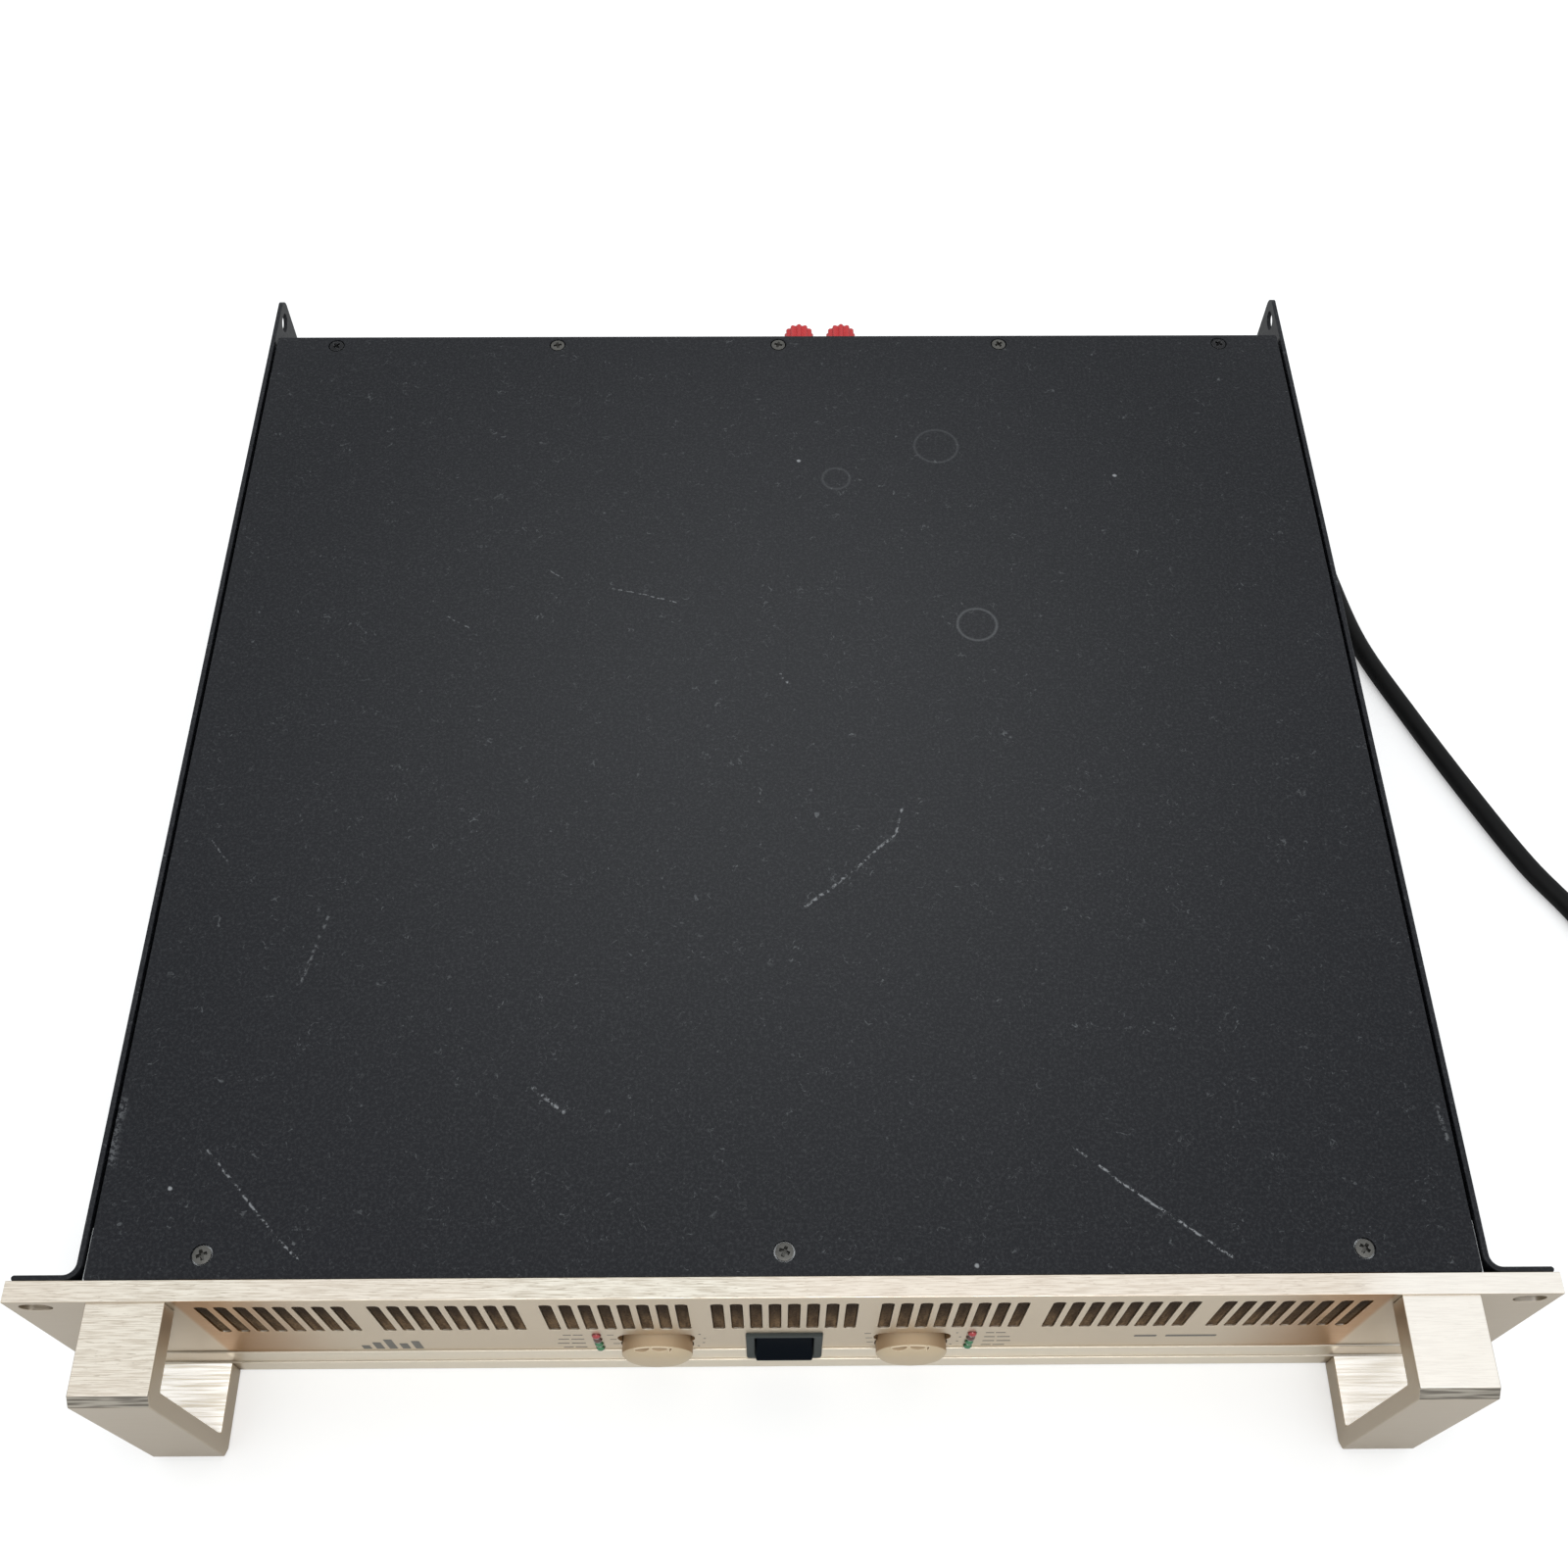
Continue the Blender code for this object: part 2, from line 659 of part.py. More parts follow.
def level_control(side_name, x):
    """Knob, shaft and potentiometer; the knob and shaft turn together about the shaft."""
    z = below(KNOB_DROP)
    axis = (x, behind(0.0), z)
    knob_profile = [
        (0, KNOB_NOSE), (0.0070, 0.0060), (0.0095, 0.0055), (0.0110, 0.0047), (KNOB_RADIUS, 0.0036),
        (KNOB_RADIUS, -KNOB_BACK), (SHAFT_RADIUS + GAP, -KNOB_BACK),
        (SHAFT_RADIUS + GAP, -0.0010), (0, -0.0010),
    ]
    knob = turned(f"level_knob_{side_name}", knob_profile, axis, FACING_FRONT, "cream_plastic", 32)
    pointer = (x, behind(-0.0046), z + KNOB_RADIUS)
    combine(knob, box(f"pointer_notch_{side_name}", (0.0010, 0.0040, 0.0036), pointer))
    shaft_length = SHAFT_END - 0.0013
    shaft_middle = (x, behind(0.0013 + shaft_length / 2), z)
    cylinder(
        f"level_shaft_{side_name}", SHAFT_RADIUS, shaft_length, shaft_middle,
        "raw_aluminium", FACING_FRONT, 16,
    )
    bore = SHAFT_RADIUS + GAP
    pot_profile = [
        (0, -SHAFT_END - GAP), (bore, -SHAFT_END - GAP), (bore, -0.0090), (0.0045, -0.0090),
        (0.0045, -0.0110), (POT_RADIUS, -0.0110), (POT_RADIUS, -0.0195), (0, -0.0195),
    ]
    turned(
        f"level_potentiometer_{side_name}", pot_profile, axis, FACING_FRONT, "zinc_steel", 20
    )


def switch_housing():
    z = below(ROCKER_DROP)
    lip = 0.0012
    bezel = outline_solid(
        "switch_housing",
        [rounded_rectangle((0, 0), BEZEL_WIDTH, BEZEL_HEIGHT, 0.0006, 1)],
        lip, (0.0, behind(-0.0011 + lip / 2), z), "XZ", "grey_plastic",
    )
    length = HOUSING_DEPTH
    body = box(
        "housing_body", (HOUSING_WIDTH, length, HOUSING_HEIGHT), (0, behind(length / 2 - 0.0005), z)
    )
    combine(bezel, body, "UNION")
    opening = box(
        "housing_opening",
        (OPENING_WIDTH, OPENING_DEPTH + 0.005, OPENING_HEIGHT),
        (0, behind((OPENING_DEPTH - 0.005) / 2), z),
    )
    combine(bezel, opening)


def switch_rocker():
    """Saddle-shaped rocker, tilted to the side where its lower end stands out."""
    half = ROCKER_HALF_HEIGHT
    front = -ROCKER_FRONT - ROCKER_PIVOT
    bow = (half * half + ROCKER_HOLLOW * ROCKER_HOLLOW) / (2 * ROCKER_HOLLOW)
    sweep = math.degrees(math.asin(half / bow))
    saddle = arc((front + ROCKER_HOLLOW - bow, 0.0), bow, sweep, -sweep, 8)
    profile = saddle + [(0.0, -0.0098), (0.0060, -0.0050), (0.0060, 0.0050), (0.0, 0.0098)]
    axis = (0.0, behind(ROCKER_PIVOT), below(ROCKER_DROP))
    rocker = outline_solid("switch_rocker", [profile], ROCKER_WIDTH, axis, "YZ", "black_plastic")
    rocker.rotation_euler.rotate(Matrix.Rotation(-ROCKER_TILT, 3, "X"))


def signal_lamp(name, x, z, colour):
    """Dome lens with its body and the spacer that holds it off the front board."""
    profile = [
        (0, 0.0010), (0.0008, 0.0008), (0.0013, 0.0003), (LAMP_RADIUS, -0.0003),
        (LAMP_RADIUS, -0.0071), (0.0023, -0.0071), (0.0023, -0.0195), (0, -0.0195),
    ]
    turned(name, profile, (x, behind(0.0), z), FACING_FRONT, colour, 8)


def front_circuit_board():
    top = below(0.0435)
    bottom = below(0.0820)
    outer = rounded_rectangle((0, (top + bottom) / 2), 0.156, top - bottom, 0.002, 1)
    window = rounded_rectangle(
        (0, below(ROCKER_DROP)), HOUSING_WIDTH + 0.0012, HOUSING_HEIGHT + 0.0012, 0.0006, 1
    )
    centre = (0.0, behind(FRONT_BOARD_FACE + BOARD / 2), 0.0)
    outline_solid("front_circuit_board", [outer, window], BOARD, centre, "XZ", "circuit_board")


def power_transformer():
    """Toroidal winding, held down by a dished clamp and one bolt."""
    half = COIL_HEIGHT / 2
    round_ = COIL_ROUND
    outer = COIL_OUTER - round_
    inner = COIL_INNER + round_
    ring = []
    for centre, start in (
        ((outer, half - round_), 90), ((outer, round_ - half), 0),
        ((inner, round_ - half), -90), ((inner, half - round_), -180),
    ):
        ring += arc(centre, round_, start, start - 90, 2)
    middle = (0.0, COIL_Y, COIL_BOTTOM + half)
    turned("power_transformer", ring, middle, (0, 0, 0), "copper", 24, closed=True)
    top = COIL_BOTTOM + COIL_HEIGHT + GAP
    clamp = [
        (0, top + 0.0080), (0.0065, top + 0.0080), (0.0065, top + 0.0025), (0.0320, top + 0.0025),
        (0.0320, top), (BOLT_RADIUS, top), (BOLT_RADIUS, 0.0006), (0, 0.0006),
    ]
    turned("transformer_clamp", clamp, (0.0, COIL_Y, 0.0), (0, 0, 0), "zinc_steel", 20)


def capacitor(name, x, y):
    bottom = BASE_SHEET + GAP
    radius = CAPACITOR_RADIUS
    top = bottom + CAPACITOR_HEIGHT
    profile = [
        (0, top), (radius - 0.002, top), (radius, top - 0.002), (radius, bottom), (0, bottom),
    ]
    turned(name, profile, (x, y, 0), (0, 0, 0), "capacitor_sleeve", 16)


def heat_sink(name, side):
    """Finned extrusion whose fins point to the middle of the air tunnel."""
    root = FAN_X + side * (SINK_HALF_SPAN - SINK_BASE)
    back = FAN_X + side * SINK_HALF_SPAN
    tip = root - side * SINK_FIN
    low, high = SINK_Z
    pitch = (high - low - SINK_FIN_THICKNESS) / (SINK_FINS - 1)
    section = [(back, high), (back, low)]
    for index in range(SINK_FINS):
        z = low + index * pitch
        section += [(tip, z), (tip, z + SINK_FIN_THICKNESS)]
        if index < SINK_FINS - 1:
            section += [(root, z + SINK_FIN_THICKNESS), (root, z + pitch)]
    middle = (0.0, sum(SINK_Y) / 2, 0.0)
    length = SINK_Y[1] - SINK_Y[0]
    outline_solid(name, [section], length, middle, "XZ", "raw_aluminium")


def amplifier_board(name, side):
    x = FAN_X + side * (SINK_HALF_SPAN + 0.0010 + BOARD / 2)
    box(name, (BOARD, 0.180, 0.070), (x, sum(SINK_Y) / 2, 0.043), "circuit_board")


def fan():
    """Axial fan with its frame, four struts and a seven-bladed rotor."""
    back = REAR_FACE - REAR_SHEET - GAP
    frame = outline_solid(
        "fan_frame",
        [
            rounded_rectangle((FAN_X, FAN_Z), FAN_SIZE, FAN_SIZE, 0.004, 2),
            circle((FAN_X, FAN_Z), FAN_BORE, 32),
        ],
        FAN_DEPTH, (0.0, back - FAN_DEPTH / 2, 0.0), "XZ", "black_plastic",
    )
    strut_y = back - 0.0020
    for turn in (45, 135):
        strut = box(
            f"fan_strut_{turn}", (2 * FAN_BORE + 0.006, 0.0030, 0.0030), (FAN_X, strut_y, FAN_Z)
        )
        strut.rotation_euler = (0.0, math.radians(turn), 0.0)
        combine(frame, strut, "UNION")
    hub = cylinder(
        "fan_motor_plate", 0.0150, 0.0034, (FAN_X, strut_y, FAN_Z), None, FACING_FRONT, 20
    )
    combine(frame, hub, "UNION")
    pivot = cylinder(
        "fan_axle_hole", 0.0024, 0.010, (FAN_X, strut_y, FAN_Z), None, FACING_FRONT, 12
    )
    combine(frame, pivot)
    fan_rotor(back - 0.0060)


def fan_rotor(back):
    length = 0.0160
    axle = 0.0020
    profile = [
        (0, 0.0), (0.0130, 0.0), (0.0155, -0.0020), (0.0155, -length),
        (axle, -length), (axle, -length - 0.0045), (0, -length - 0.0045),
    ]
    front = (FAN_X, back - length, FAN_Z)
    rotor = turned("fan_rotor", profile, front, FACING_FRONT, "black_plastic", 21)
    blades = bpy.data.meshes.new("fan_blades")
    shape = bmesh.new()
    size = Matrix.Diagonal((0.0235, 0.0170, 0.0012, 1.0))
    for index in range(FAN_BLADES):
        turn = Matrix.Rotation(math.tau * index / FAN_BLADES, 4, "Z")
        out = Matrix.Translation((0.0247, 0.0, -length / 2))
        pitch = Matrix.Rotation(math.radians(38), 4, "X")
        bmesh.ops.create_cube(shape, size=1.0, matrix=turn @ out @ pitch @ size)
    shape.to_mesh(blades)
    shape.free()
    combine(rotor, place("fan_blades", blades, front, FACING_FRONT, None), "UNION")


def speaker_terminals():
    """One insulating block with four studs, and a fluted screw cap on each stud."""
    x = sum(POST_X) / 2
    z = below(sum(POST_ROWS) / 2)
    block = outline_solid(
        "terminal_block", [rounded_rectangle((x, z), 0.0440, 0.0440, 0.003, 2)],
        0.0040, (0.0, BODY_BACK + 0.0020, 0.0), "XZ", "black_plastic",
    )
    body = box("terminal_body", (0.0352, 0.0160, 0.0352), (x, BODY_BACK - 0.0070, z))
    combine(block, body, "UNION")
    for row, drop in enumerate(POST_ROWS):
        colour = ("red_plastic", "black_plastic")[row]
        for column, post_x in enumerate(POST_X):
            place_ = (post_x, BODY_BACK, below(drop))
            stud = [
                (0, 0.0225), (POST_RADIUS, 0.0225), (POST_RADIUS, 0.0066),
                (0.0056, 0.0066), (0.0056, 0.0020), (0, 0.0020),
            ]
            name = f"{row + 1}_{column + 1}"
            combine(block, turned(f"stud_{name}", stud, place_, FACING_BACK, None, 14), "UNION")
            terminal_cap(f"terminal_cap_{name}", post_x, below(drop), colour)


def terminal_cap(name, x, z, colour):
    outline = []
    for index in range(CAP_FLUTES):
        start = 360 * index / CAP_FLUTES
        outline += arc((0, 0), CAP_RADIUS, start, start + 18, 1)
        outline += arc((0, 0), CAP_RADIUS - 0.0007, start + 21, start + 27, 1)
    hole = circle((0, 0), POST_RADIUS + GAP, 14)
    middle = (x, (CAP_NEAR + CAP_FAR) / 2, z)
    outline_solid(name, [outline, hole], CAP_FAR - CAP_NEAR, middle, "XZ", colour)


def signal_input(name, x):
    """Three-pole chassis socket with a square flange and a press latch above the opening."""
    plate = outline_solid(
        f"input_socket_{name}",
        [
            rounded_rectangle((x, INPUT_Z), 0.0260, 0.0310, 0.0030, 2),
            circle((x, INPUT_Z), 0.0108, 20),
        ],
        0.0020, (0.0, BODY_BACK + 0.0010, 0.0), "XZ", "black_plastic",
    )
    barrel = [
        (0, 0.0012), (0.0072, 0.0012), (0.0072, -0.0080), (0.0097, -0.0080), (0.0097, 0.0016),
        (0.0118, 0.0016), (0.0118, -0.0200), (0, -0.0200),
    ]
    seat = (x, BODY_BACK, INPUT_Z)
    combine(plate, turned(f"barrel_{name}", barrel, seat, FACING_BACK, None, 20), "UNION")
    for index in range(3):
        angle = math.radians(90 + 120 * index)
        pin = (x + 0.0040 * math.cos(angle), BODY_BACK, INPUT_Z - 0.0040 * math.sin(angle))
        combine(plate, cylinder(f"pin_{name}_{index}", 0.0014, 0.012, pin, None, FACING_BACK, 8))
    slot_place = (x, BODY_BACK + 0.0022, INPUT_Z + 0.0126)
    notch = box(f"latch_slot_{name}", (0.0068, 0.0055, 0.0043), slot_place)
    combine(plate, notch)
    box(
        f"input_latch_{name}", (0.0060, 0.0040, 0.0028),
        (x, BODY_BACK + 0.0018, INPUT_Z + 0.0130), "zinc_steel",
    )


def input_board():
    middle = (sum(INPUT_X) / 2, BODY_BACK - 0.0203 - BOARD / 2, INPUT_Z)
    box("input_circuit_board", (0.090, BOARD, 0.050), middle, "circuit_board")


def smooth_path(stations, steps):
    """Points on a Catmull-Rom curve through the stations."""
    padded = [stations[0]] + stations + [stations[-1]]
    points = []
    for i in range(1, len(padded) - 2):
        before, start, stop, after = padded[i - 1:i + 3]
        for step in range(steps):
            t = step / steps
            points.append(tuple(
                0.5 * (2 * b + (c - a) * t + (2 * a - 5 * b + 4 * c - d) * t ** 2
                       + (3 * b - a - 3 * c + d) * t ** 3)
                for a, b, c, d in zip(before, start, stop, after)
            ))
    return points + [stations[-1]]


def mains_lead():
    """Gland in the rear panel, the cable that runs forward along the floor, and its plug."""
    bore = CABLE_RADIUS + 0.0005
    gland = [
        (bore, 0.0180), (0.0060, 0.0180), (0.0072, 0.0100), (0.0095, 0.0095), (0.0095, 0.0),
        (0.0070, 0.0), (0.0070, -0.0080), (bore, -0.0080),
    ]
    seat = (GLAND_X, BODY_BACK, GLAND_Z)
    turned("cable_gland", gland, seat, FACING_BACK, "black_plastic", 16, closed=True)

    floor = CABLE_RADIUS + GAP
    stations = [
        (GLAND_X, 0.1920, GLAND_Z), (GLAND_X, 0.2115, GLAND_Z), (GLAND_X, 0.2310, GLAND_Z),
        (0.1885, 0.2450, 0.0262), (0.1990, 0.2520, 0.0215), (0.2120, 0.2530, 0.0150),
        (0.2250, 0.2490, 0.0095), (0.2350, 0.2400, 0.0060), (0.2400, 0.2240, floor),
        (0.2450, 0.1800, floor), (0.2510, 0.1390, floor), (0.2585, 0.0980, floor),
        (0.2740, 0.0580, floor), (0.2920, 0.0170, floor), (0.3075, -0.0150, floor),
        (0.3220, -0.0380, floor), (0.3350, -0.0660, floor + 0.0010), (PLUG_X, -0.1000, 0.0120),
        (PLUG_X, -0.1250, PLUG_Z), (PLUG_X, -0.1500, PLUG_Z),
    ]
    curve = bpy.data.curves.new("mains_cable", "CURVE")
    curve.dimensions = "3D"
    curve.bevel_depth = CABLE_RADIUS
    curve.bevel_resolution = 2
    curve.use_fill_caps = True
    spline = curve.splines.new("POLY")
    path = smooth_path(stations, 3)
    spline.points.add(len(path) - 1)
    for point, place_ in zip(spline.points, path):
        point.co = (*place_, 1.0)
    drawn = bpy.data.objects.new("mains_cable", curve)
    mesh_from_curve(drawn, "mains_cable", "rubber")
    mains_plug(bore)


def mains_plug(bore):
    """Round moulded plug with two pins, lying on its side; the cable enters from behind."""
    back = (PLUG_X, -0.1330, PLUG_Z)
    profile = [
        (0, -0.0220), (bore, -0.0220), (bore, 0.0), (0.0062, 0.0), (0.0075, -0.0160),
        (0.0150, -0.0220), (0.0183, -0.0270), (0.0183, -0.0470), (0.0165, -0.0500), (0, -0.0500),
    ]
    plug = turned("mains_plug", profile, back, FACING_BACK, "rubber", 20)
    for side in (-1, 1):
        pin = (PLUG_X + side * 0.0095, back[1] - 0.0580, PLUG_Z)
        combine(plug, cylinder(f"plug_pin_{side}", 0.0024, 0.0200, pin, None, FACING_FRONT, 10), "UNION")


def build():
    clear_scene()
    front_panel()
    handle("handle_left", -HANDLE_X)
    handle("handle_right", HANDLE_X)
    chassis_base()
    rear_panel()
    side_panel("side_panel_left", -1)
    side_panel("side_panel_right", 1)
    top_cover()
    front_brace()
    for (name, x, y), angle in zip(screw_places(), CROSS_ANGLES):
        cover_screw(name, x, y, angle)
    air_filter()
    level_control("left", -KNOB_X)
    level_control("right", KNOB_X)
    switch_housing()
    switch_rocker()
    for side_name, x in (("left", -LAMP_X), ("right", LAMP_X)):
        for index in range(LAMP_COUNT):
            name = f"signal_lamp_{side_name}_{index + 1}"
            signal_lamp(name, x, lamp_height(index), LAMP_COLOURS[index])
    front_circuit_board()
    power_transformer()
    for side_name, side in (("left", -1), ("right", 1)):
        for number, y in enumerate(CAPACITOR_Y, start=1):
            capacitor(f"capacitor_{side_name}_{number}", side * CAPACITOR_X, y)
        heat_sink(f"heat_sink_{side_name}", side)
        amplifier_board(f"amplifier_board_{side_name}", side)
    fan()
    speaker_terminals()
    for name, x in zip(("1", "2"), INPUT_X):
        signal_input(name, x)
    input_board()
    mains_lead()


build()
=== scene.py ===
"""Looks of a two-unit stereo power amplifier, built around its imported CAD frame.

Every piece is drawn in the frame's own coordinates, in metres: +X to the right of the front
panel, +Y towards the back, +Z up. Places come from the CAD nodes' boxes.
"""

import json
import math

import bmesh
import bpy
from mathutils import Matrix, Vector, noise


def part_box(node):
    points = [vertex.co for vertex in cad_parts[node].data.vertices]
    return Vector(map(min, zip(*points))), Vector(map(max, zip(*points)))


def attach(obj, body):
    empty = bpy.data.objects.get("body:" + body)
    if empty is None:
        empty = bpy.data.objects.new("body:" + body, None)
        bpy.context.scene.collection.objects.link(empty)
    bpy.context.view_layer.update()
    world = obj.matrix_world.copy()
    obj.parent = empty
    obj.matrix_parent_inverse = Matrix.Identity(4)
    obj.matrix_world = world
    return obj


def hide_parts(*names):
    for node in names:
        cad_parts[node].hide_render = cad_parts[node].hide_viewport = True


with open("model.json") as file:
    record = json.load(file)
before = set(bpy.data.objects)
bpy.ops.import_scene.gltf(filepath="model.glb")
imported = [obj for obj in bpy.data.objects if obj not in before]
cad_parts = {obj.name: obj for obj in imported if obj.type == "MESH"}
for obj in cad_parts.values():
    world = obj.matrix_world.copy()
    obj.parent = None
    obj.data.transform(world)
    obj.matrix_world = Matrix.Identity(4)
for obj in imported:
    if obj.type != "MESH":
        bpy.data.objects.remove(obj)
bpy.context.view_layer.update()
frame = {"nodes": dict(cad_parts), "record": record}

MAIN = "amplifier"

# Camera, as the reference view has it
CAMERA_PLACE = (-0.0027, -0.3457, 0.6153)
CAMERA_PITCH = math.radians(58.71)
CAMERA_YAW = math.radians(0.659)
CAMERA_ROLL = math.radians(0.325)
CAMERA_LENS = 38.745

CLEAR = 0.01                         # how far a cutter reaches past what it cuts
WELD = 1e-6                          # points closer than this are one point
SHARP_ANGLE = math.radians(32)       # edges that turn more than this stay crisp

# Front panel
PANEL_LOW, PANEL_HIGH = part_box("front_panel")
LEDGE_STEP = 0.0006
FACE = PANEL_LOW.y + 2 * LEDGE_STEP
UPPER_LEDGE = 0.0650
LOWER_LEDGE = 0.0774
PANEL_EDGE = 0.00035
SLOT_GROUPS = 7
SLOTS_IN_GROUP = 8
SLOT_PITCH = 0.00608
GROUP_PITCH = 0.05373
SLOT_SIZE = (0.0040, 0.0319)
SLOT_RADIUS = 0.0015
SLOT_DROP = 0.02285
SLOT_RIM = 0.00012
FOAM_DEPTH = 0.0004
RACK_SLOT = (0.0104, 0.0070)
RACK_SLOT_X = 0.23255
RACK_SLOT_INSET = 0.00595

# Handles
HANDLE_CHAMFER = 0.0029
UPPER_ARM = 0.0100
LOWER_ARM = 0.0105
GRIP = 0.0059

# Controls
KNOB_HOLE = 0.0123
KNOB_CLEFT = (0.0258, 0.0110)
KNOB_CLEFT_DROP = 0.0505
KNOB_BACK = 0.0080
KNOB_RIM = 0.0036
KNOB_GROOVE = 0.0014
LAMP_RADIUS = 0.0015
ROCKER_WIDTH = 0.0194
ROCKER_HALF = 0.0120
ROCKER_TILT = math.radians(9.5)
ROCKER_PIVOT = 0.0070

# Sheet metal
SIDE_OUTER = 0.2210
SIDE_SHEET = 0.0018
BEND = 0.0038
EAR_HEIGHT = 0.0280
EAR_SLOT = (0.0090, 0.0070)
EAR_SLOT_Y = 0.2205
EAR_SLOT_INSET = 0.0070
SCREW_HEAD = 0.0029

# Rear fittings
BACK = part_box("top_cover")[1].y
POST_RADIUS = 0.0030
CAP_FLUTES = 12

# Where the champagne finish and its painted light and shade change: each pair is where a change starts and
# where it is complete
LOW_TOPS = (0.045, 0.030)            # height
ARM_TOPS = (-0.2120, -0.2126)        # depth at which the handles' arms start
CHAMFERS = (-0.2368, -0.2376)        # depth at which the handles' front chamfers start
CORNERS = (0.140, 0.184)             # distance from the middle where the painted shade and warm reflection by the handles grow
CORNERS_END = (0.1885, 0.1905)
OUTER_FACES = (0.1875, 0.1905)
PAINTED_HIGHLIGHT_END = (0.170, 0.195)          # the right end of the upper surfaces, lightened by a painted highlight

# Studio
FLOOR_LIFT = 0.36                    # how much lighter the floor looks to the camera than it is
SURROUND_LIFT = 0.08

PLANES = {
    "XY": (0.0, 0.0, 0.0),
    "XZ": (math.pi / 2, 0.0, 0.0),
    "YZ": (math.pi / 2, 0.0, math.pi / 2),
}
THIRD_AXIS = {"XY": 2, "XZ": 1, "YZ": 0}
TO_FRONT = Matrix.Rotation(math.pi / 2, 4, "X")
TO_BACK = Matrix.Rotation(-math.pi / 2, 4, "X")
UPRIGHT = Matrix.Identity(4)


def below(distance):
    """Height of a point this far below the panel's top edge."""
    return PANEL_HIGH.z - distance


def middle(node):
    low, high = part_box(node)
    return (low + high) / 2


# Outlines ---------------------------------------------------------------------------------


def arc(centre, radius, start, stop, steps):
    """Points on an arc, in degrees from the first axis."""
    points = []
    for step in range(steps + 1):
        angle = math.radians(start + (stop - start) * step / steps)
        points.append((centre[0] + radius * math.cos(angle), centre[1] + radius * math.sin(angle)))
    return points


def circle(centre, radius, steps=48):
    return arc(centre, radius, 0, 360, steps)[:-1]


def softened(corners, radius, steps=4):
    """Round the corners of a closed outline; a corner may carry its own radius."""
    points = []
    for index, corner in enumerate(corners):
        here = Vector(corner[:2])
        bend = corner[2] if len(corner) > 2 else radius
        into = (Vector(corners[index - 1][:2]) - here).normalized()
        out = (Vector(corners[(index + 1) % len(corners)][:2]) - here).normalized()
        half = into.angle(out) / 2
        if bend <= 0 or half > 1.5:
            points.append(tuple(here))
            continue
        centre = here + (into + out).normalized() * (bend / math.sin(half))
        start = here + into * (bend / math.tan(half)) - centre
        stop = here + out * (bend / math.tan(half)) - centre
        first = math.atan2(start.y, start.x)
        sweep = (math.atan2(stop.y, stop.x) - first + math.pi) % math.tau - math.pi
        for step in range(steps + 1):
            angle = first + sweep * step / steps
            points.append((centre.x + bend * math.cos(angle), centre.y + bend * math.sin(angle)))
    return points


def rectangle(centre, width, height, radius, steps=4):
    x, y = width / 2, height / 2
    corners = ((x, y), (-x, y), (-x, -y), (x, -y))
    return softened([(centre[0] + a, centre[1] + b) for a, b in corners], radius, steps)


def oval(centre, length, width):
    reach = (length - width) / 2
    right = arc((centre[0] + reach, centre[1]), width / 2, -90, 90, 10)
    return right + arc((centre[0] - reach, centre[1]), width / 2, 90, 270, 10)


# Solids -----------------------------------------------------------------------------------


def add_object(name, data):
    obj = bpy.data.objects.new(name, data)
    bpy.context.scene.collection.objects.link(obj)
    return obj


def shade(mesh):
    mesh.shade_smooth()
    mesh.set_sharp_from_angle(angle=SHARP_ANGLE)


def solid(name, shape, place=None):
    """Object made from a bmesh, which is used up."""
    mesh = bpy.data.meshes.new(name)
    shape.to_mesh(mesh)
    shape.free()
    if place is not None:
        mesh.transform(place)
    shade(mesh)
    return add_object(name, mesh)


def bake(obj):
    """Apply an object's modifiers and place, so that its points are the frame's coordinates."""
    bpy.context.view_layer.update()
    evaluated = obj.evaluated_get(bpy.context.evaluated_depsgraph_get())
    mesh = bpy.data.meshes.new_from_object(evaluated)
    mesh.transform(obj.matrix_world)
    mesh.materials.clear()
    name = obj.name
    bpy.data.objects.remove(obj, do_unlink=True)
    shape = bmesh.new()
    shape.from_mesh(mesh)
    bmesh.ops.remove_doubles(shape, verts=shape.verts, dist=WELD)
    bmesh.ops.recalc_face_normals(shape, faces=shape.faces)
    shape.to_mesh(mesh)
    shape.free()
    shade(mesh)
    return add_object(name, mesh)


def plate(name, loops, near, far, plane, edge=0.0, steps=2, grow=0.0):
    """Solid between two parallel planes, with all its outer edges rounded by the edge radius."""
    curve = bpy.data.curves.new(name, "CURVE")
    curve.dimensions = "2D"
    curve.fill_mode = "BOTH"
    curve.extrude = abs(far - near) / 2 - edge
    curve.bevel_depth = edge
    curve.bevel_resolution = steps
    curve.offset = grow - edge
    for loop in loops:
        spline = curve.splines.new("POLY")
        spline.points.add(len(loop) - 1)
        for point, (across, up) in zip(spline.points, loop):
            point.co = (across, up, 0.0, 1.0)
        spline.use_cyclic_u = True
    drawn = add_object(name, curve)
    drawn.rotation_euler = PLANES[plane]
    drawn.location[THIRD_AXIS[plane]] = (near + far) / 2
    return bake(drawn)


def turned(name, profile, centre, turn, steps=64):
    """Closed solid of revolution from (radius, height) points along its outer side."""
    shape = bmesh.new()
    points = [shape.verts.new((radius, 0.0, height)) for radius, height in profile]
    edges = [shape.edges.new(pair) for pair in zip(points, points[1:])]
    if min(radius for radius, _ in profile) > WELD:
        edges.append(shape.edges.new((points[-1], points[0])))
    bmesh.ops.spin(
        shape, geom=points + edges, cent=(0, 0, 0), axis=(0, 0, 1),
        angle=math.tau, steps=steps, use_duplicate=False,
    )
    bmesh.ops.remove_doubles(shape, verts=shape.verts, dist=WELD)
    bmesh.ops.recalc_face_normals(shape, faces=shape.faces)
    return solid(name, shape, Matrix.Translation(centre) @ turn)


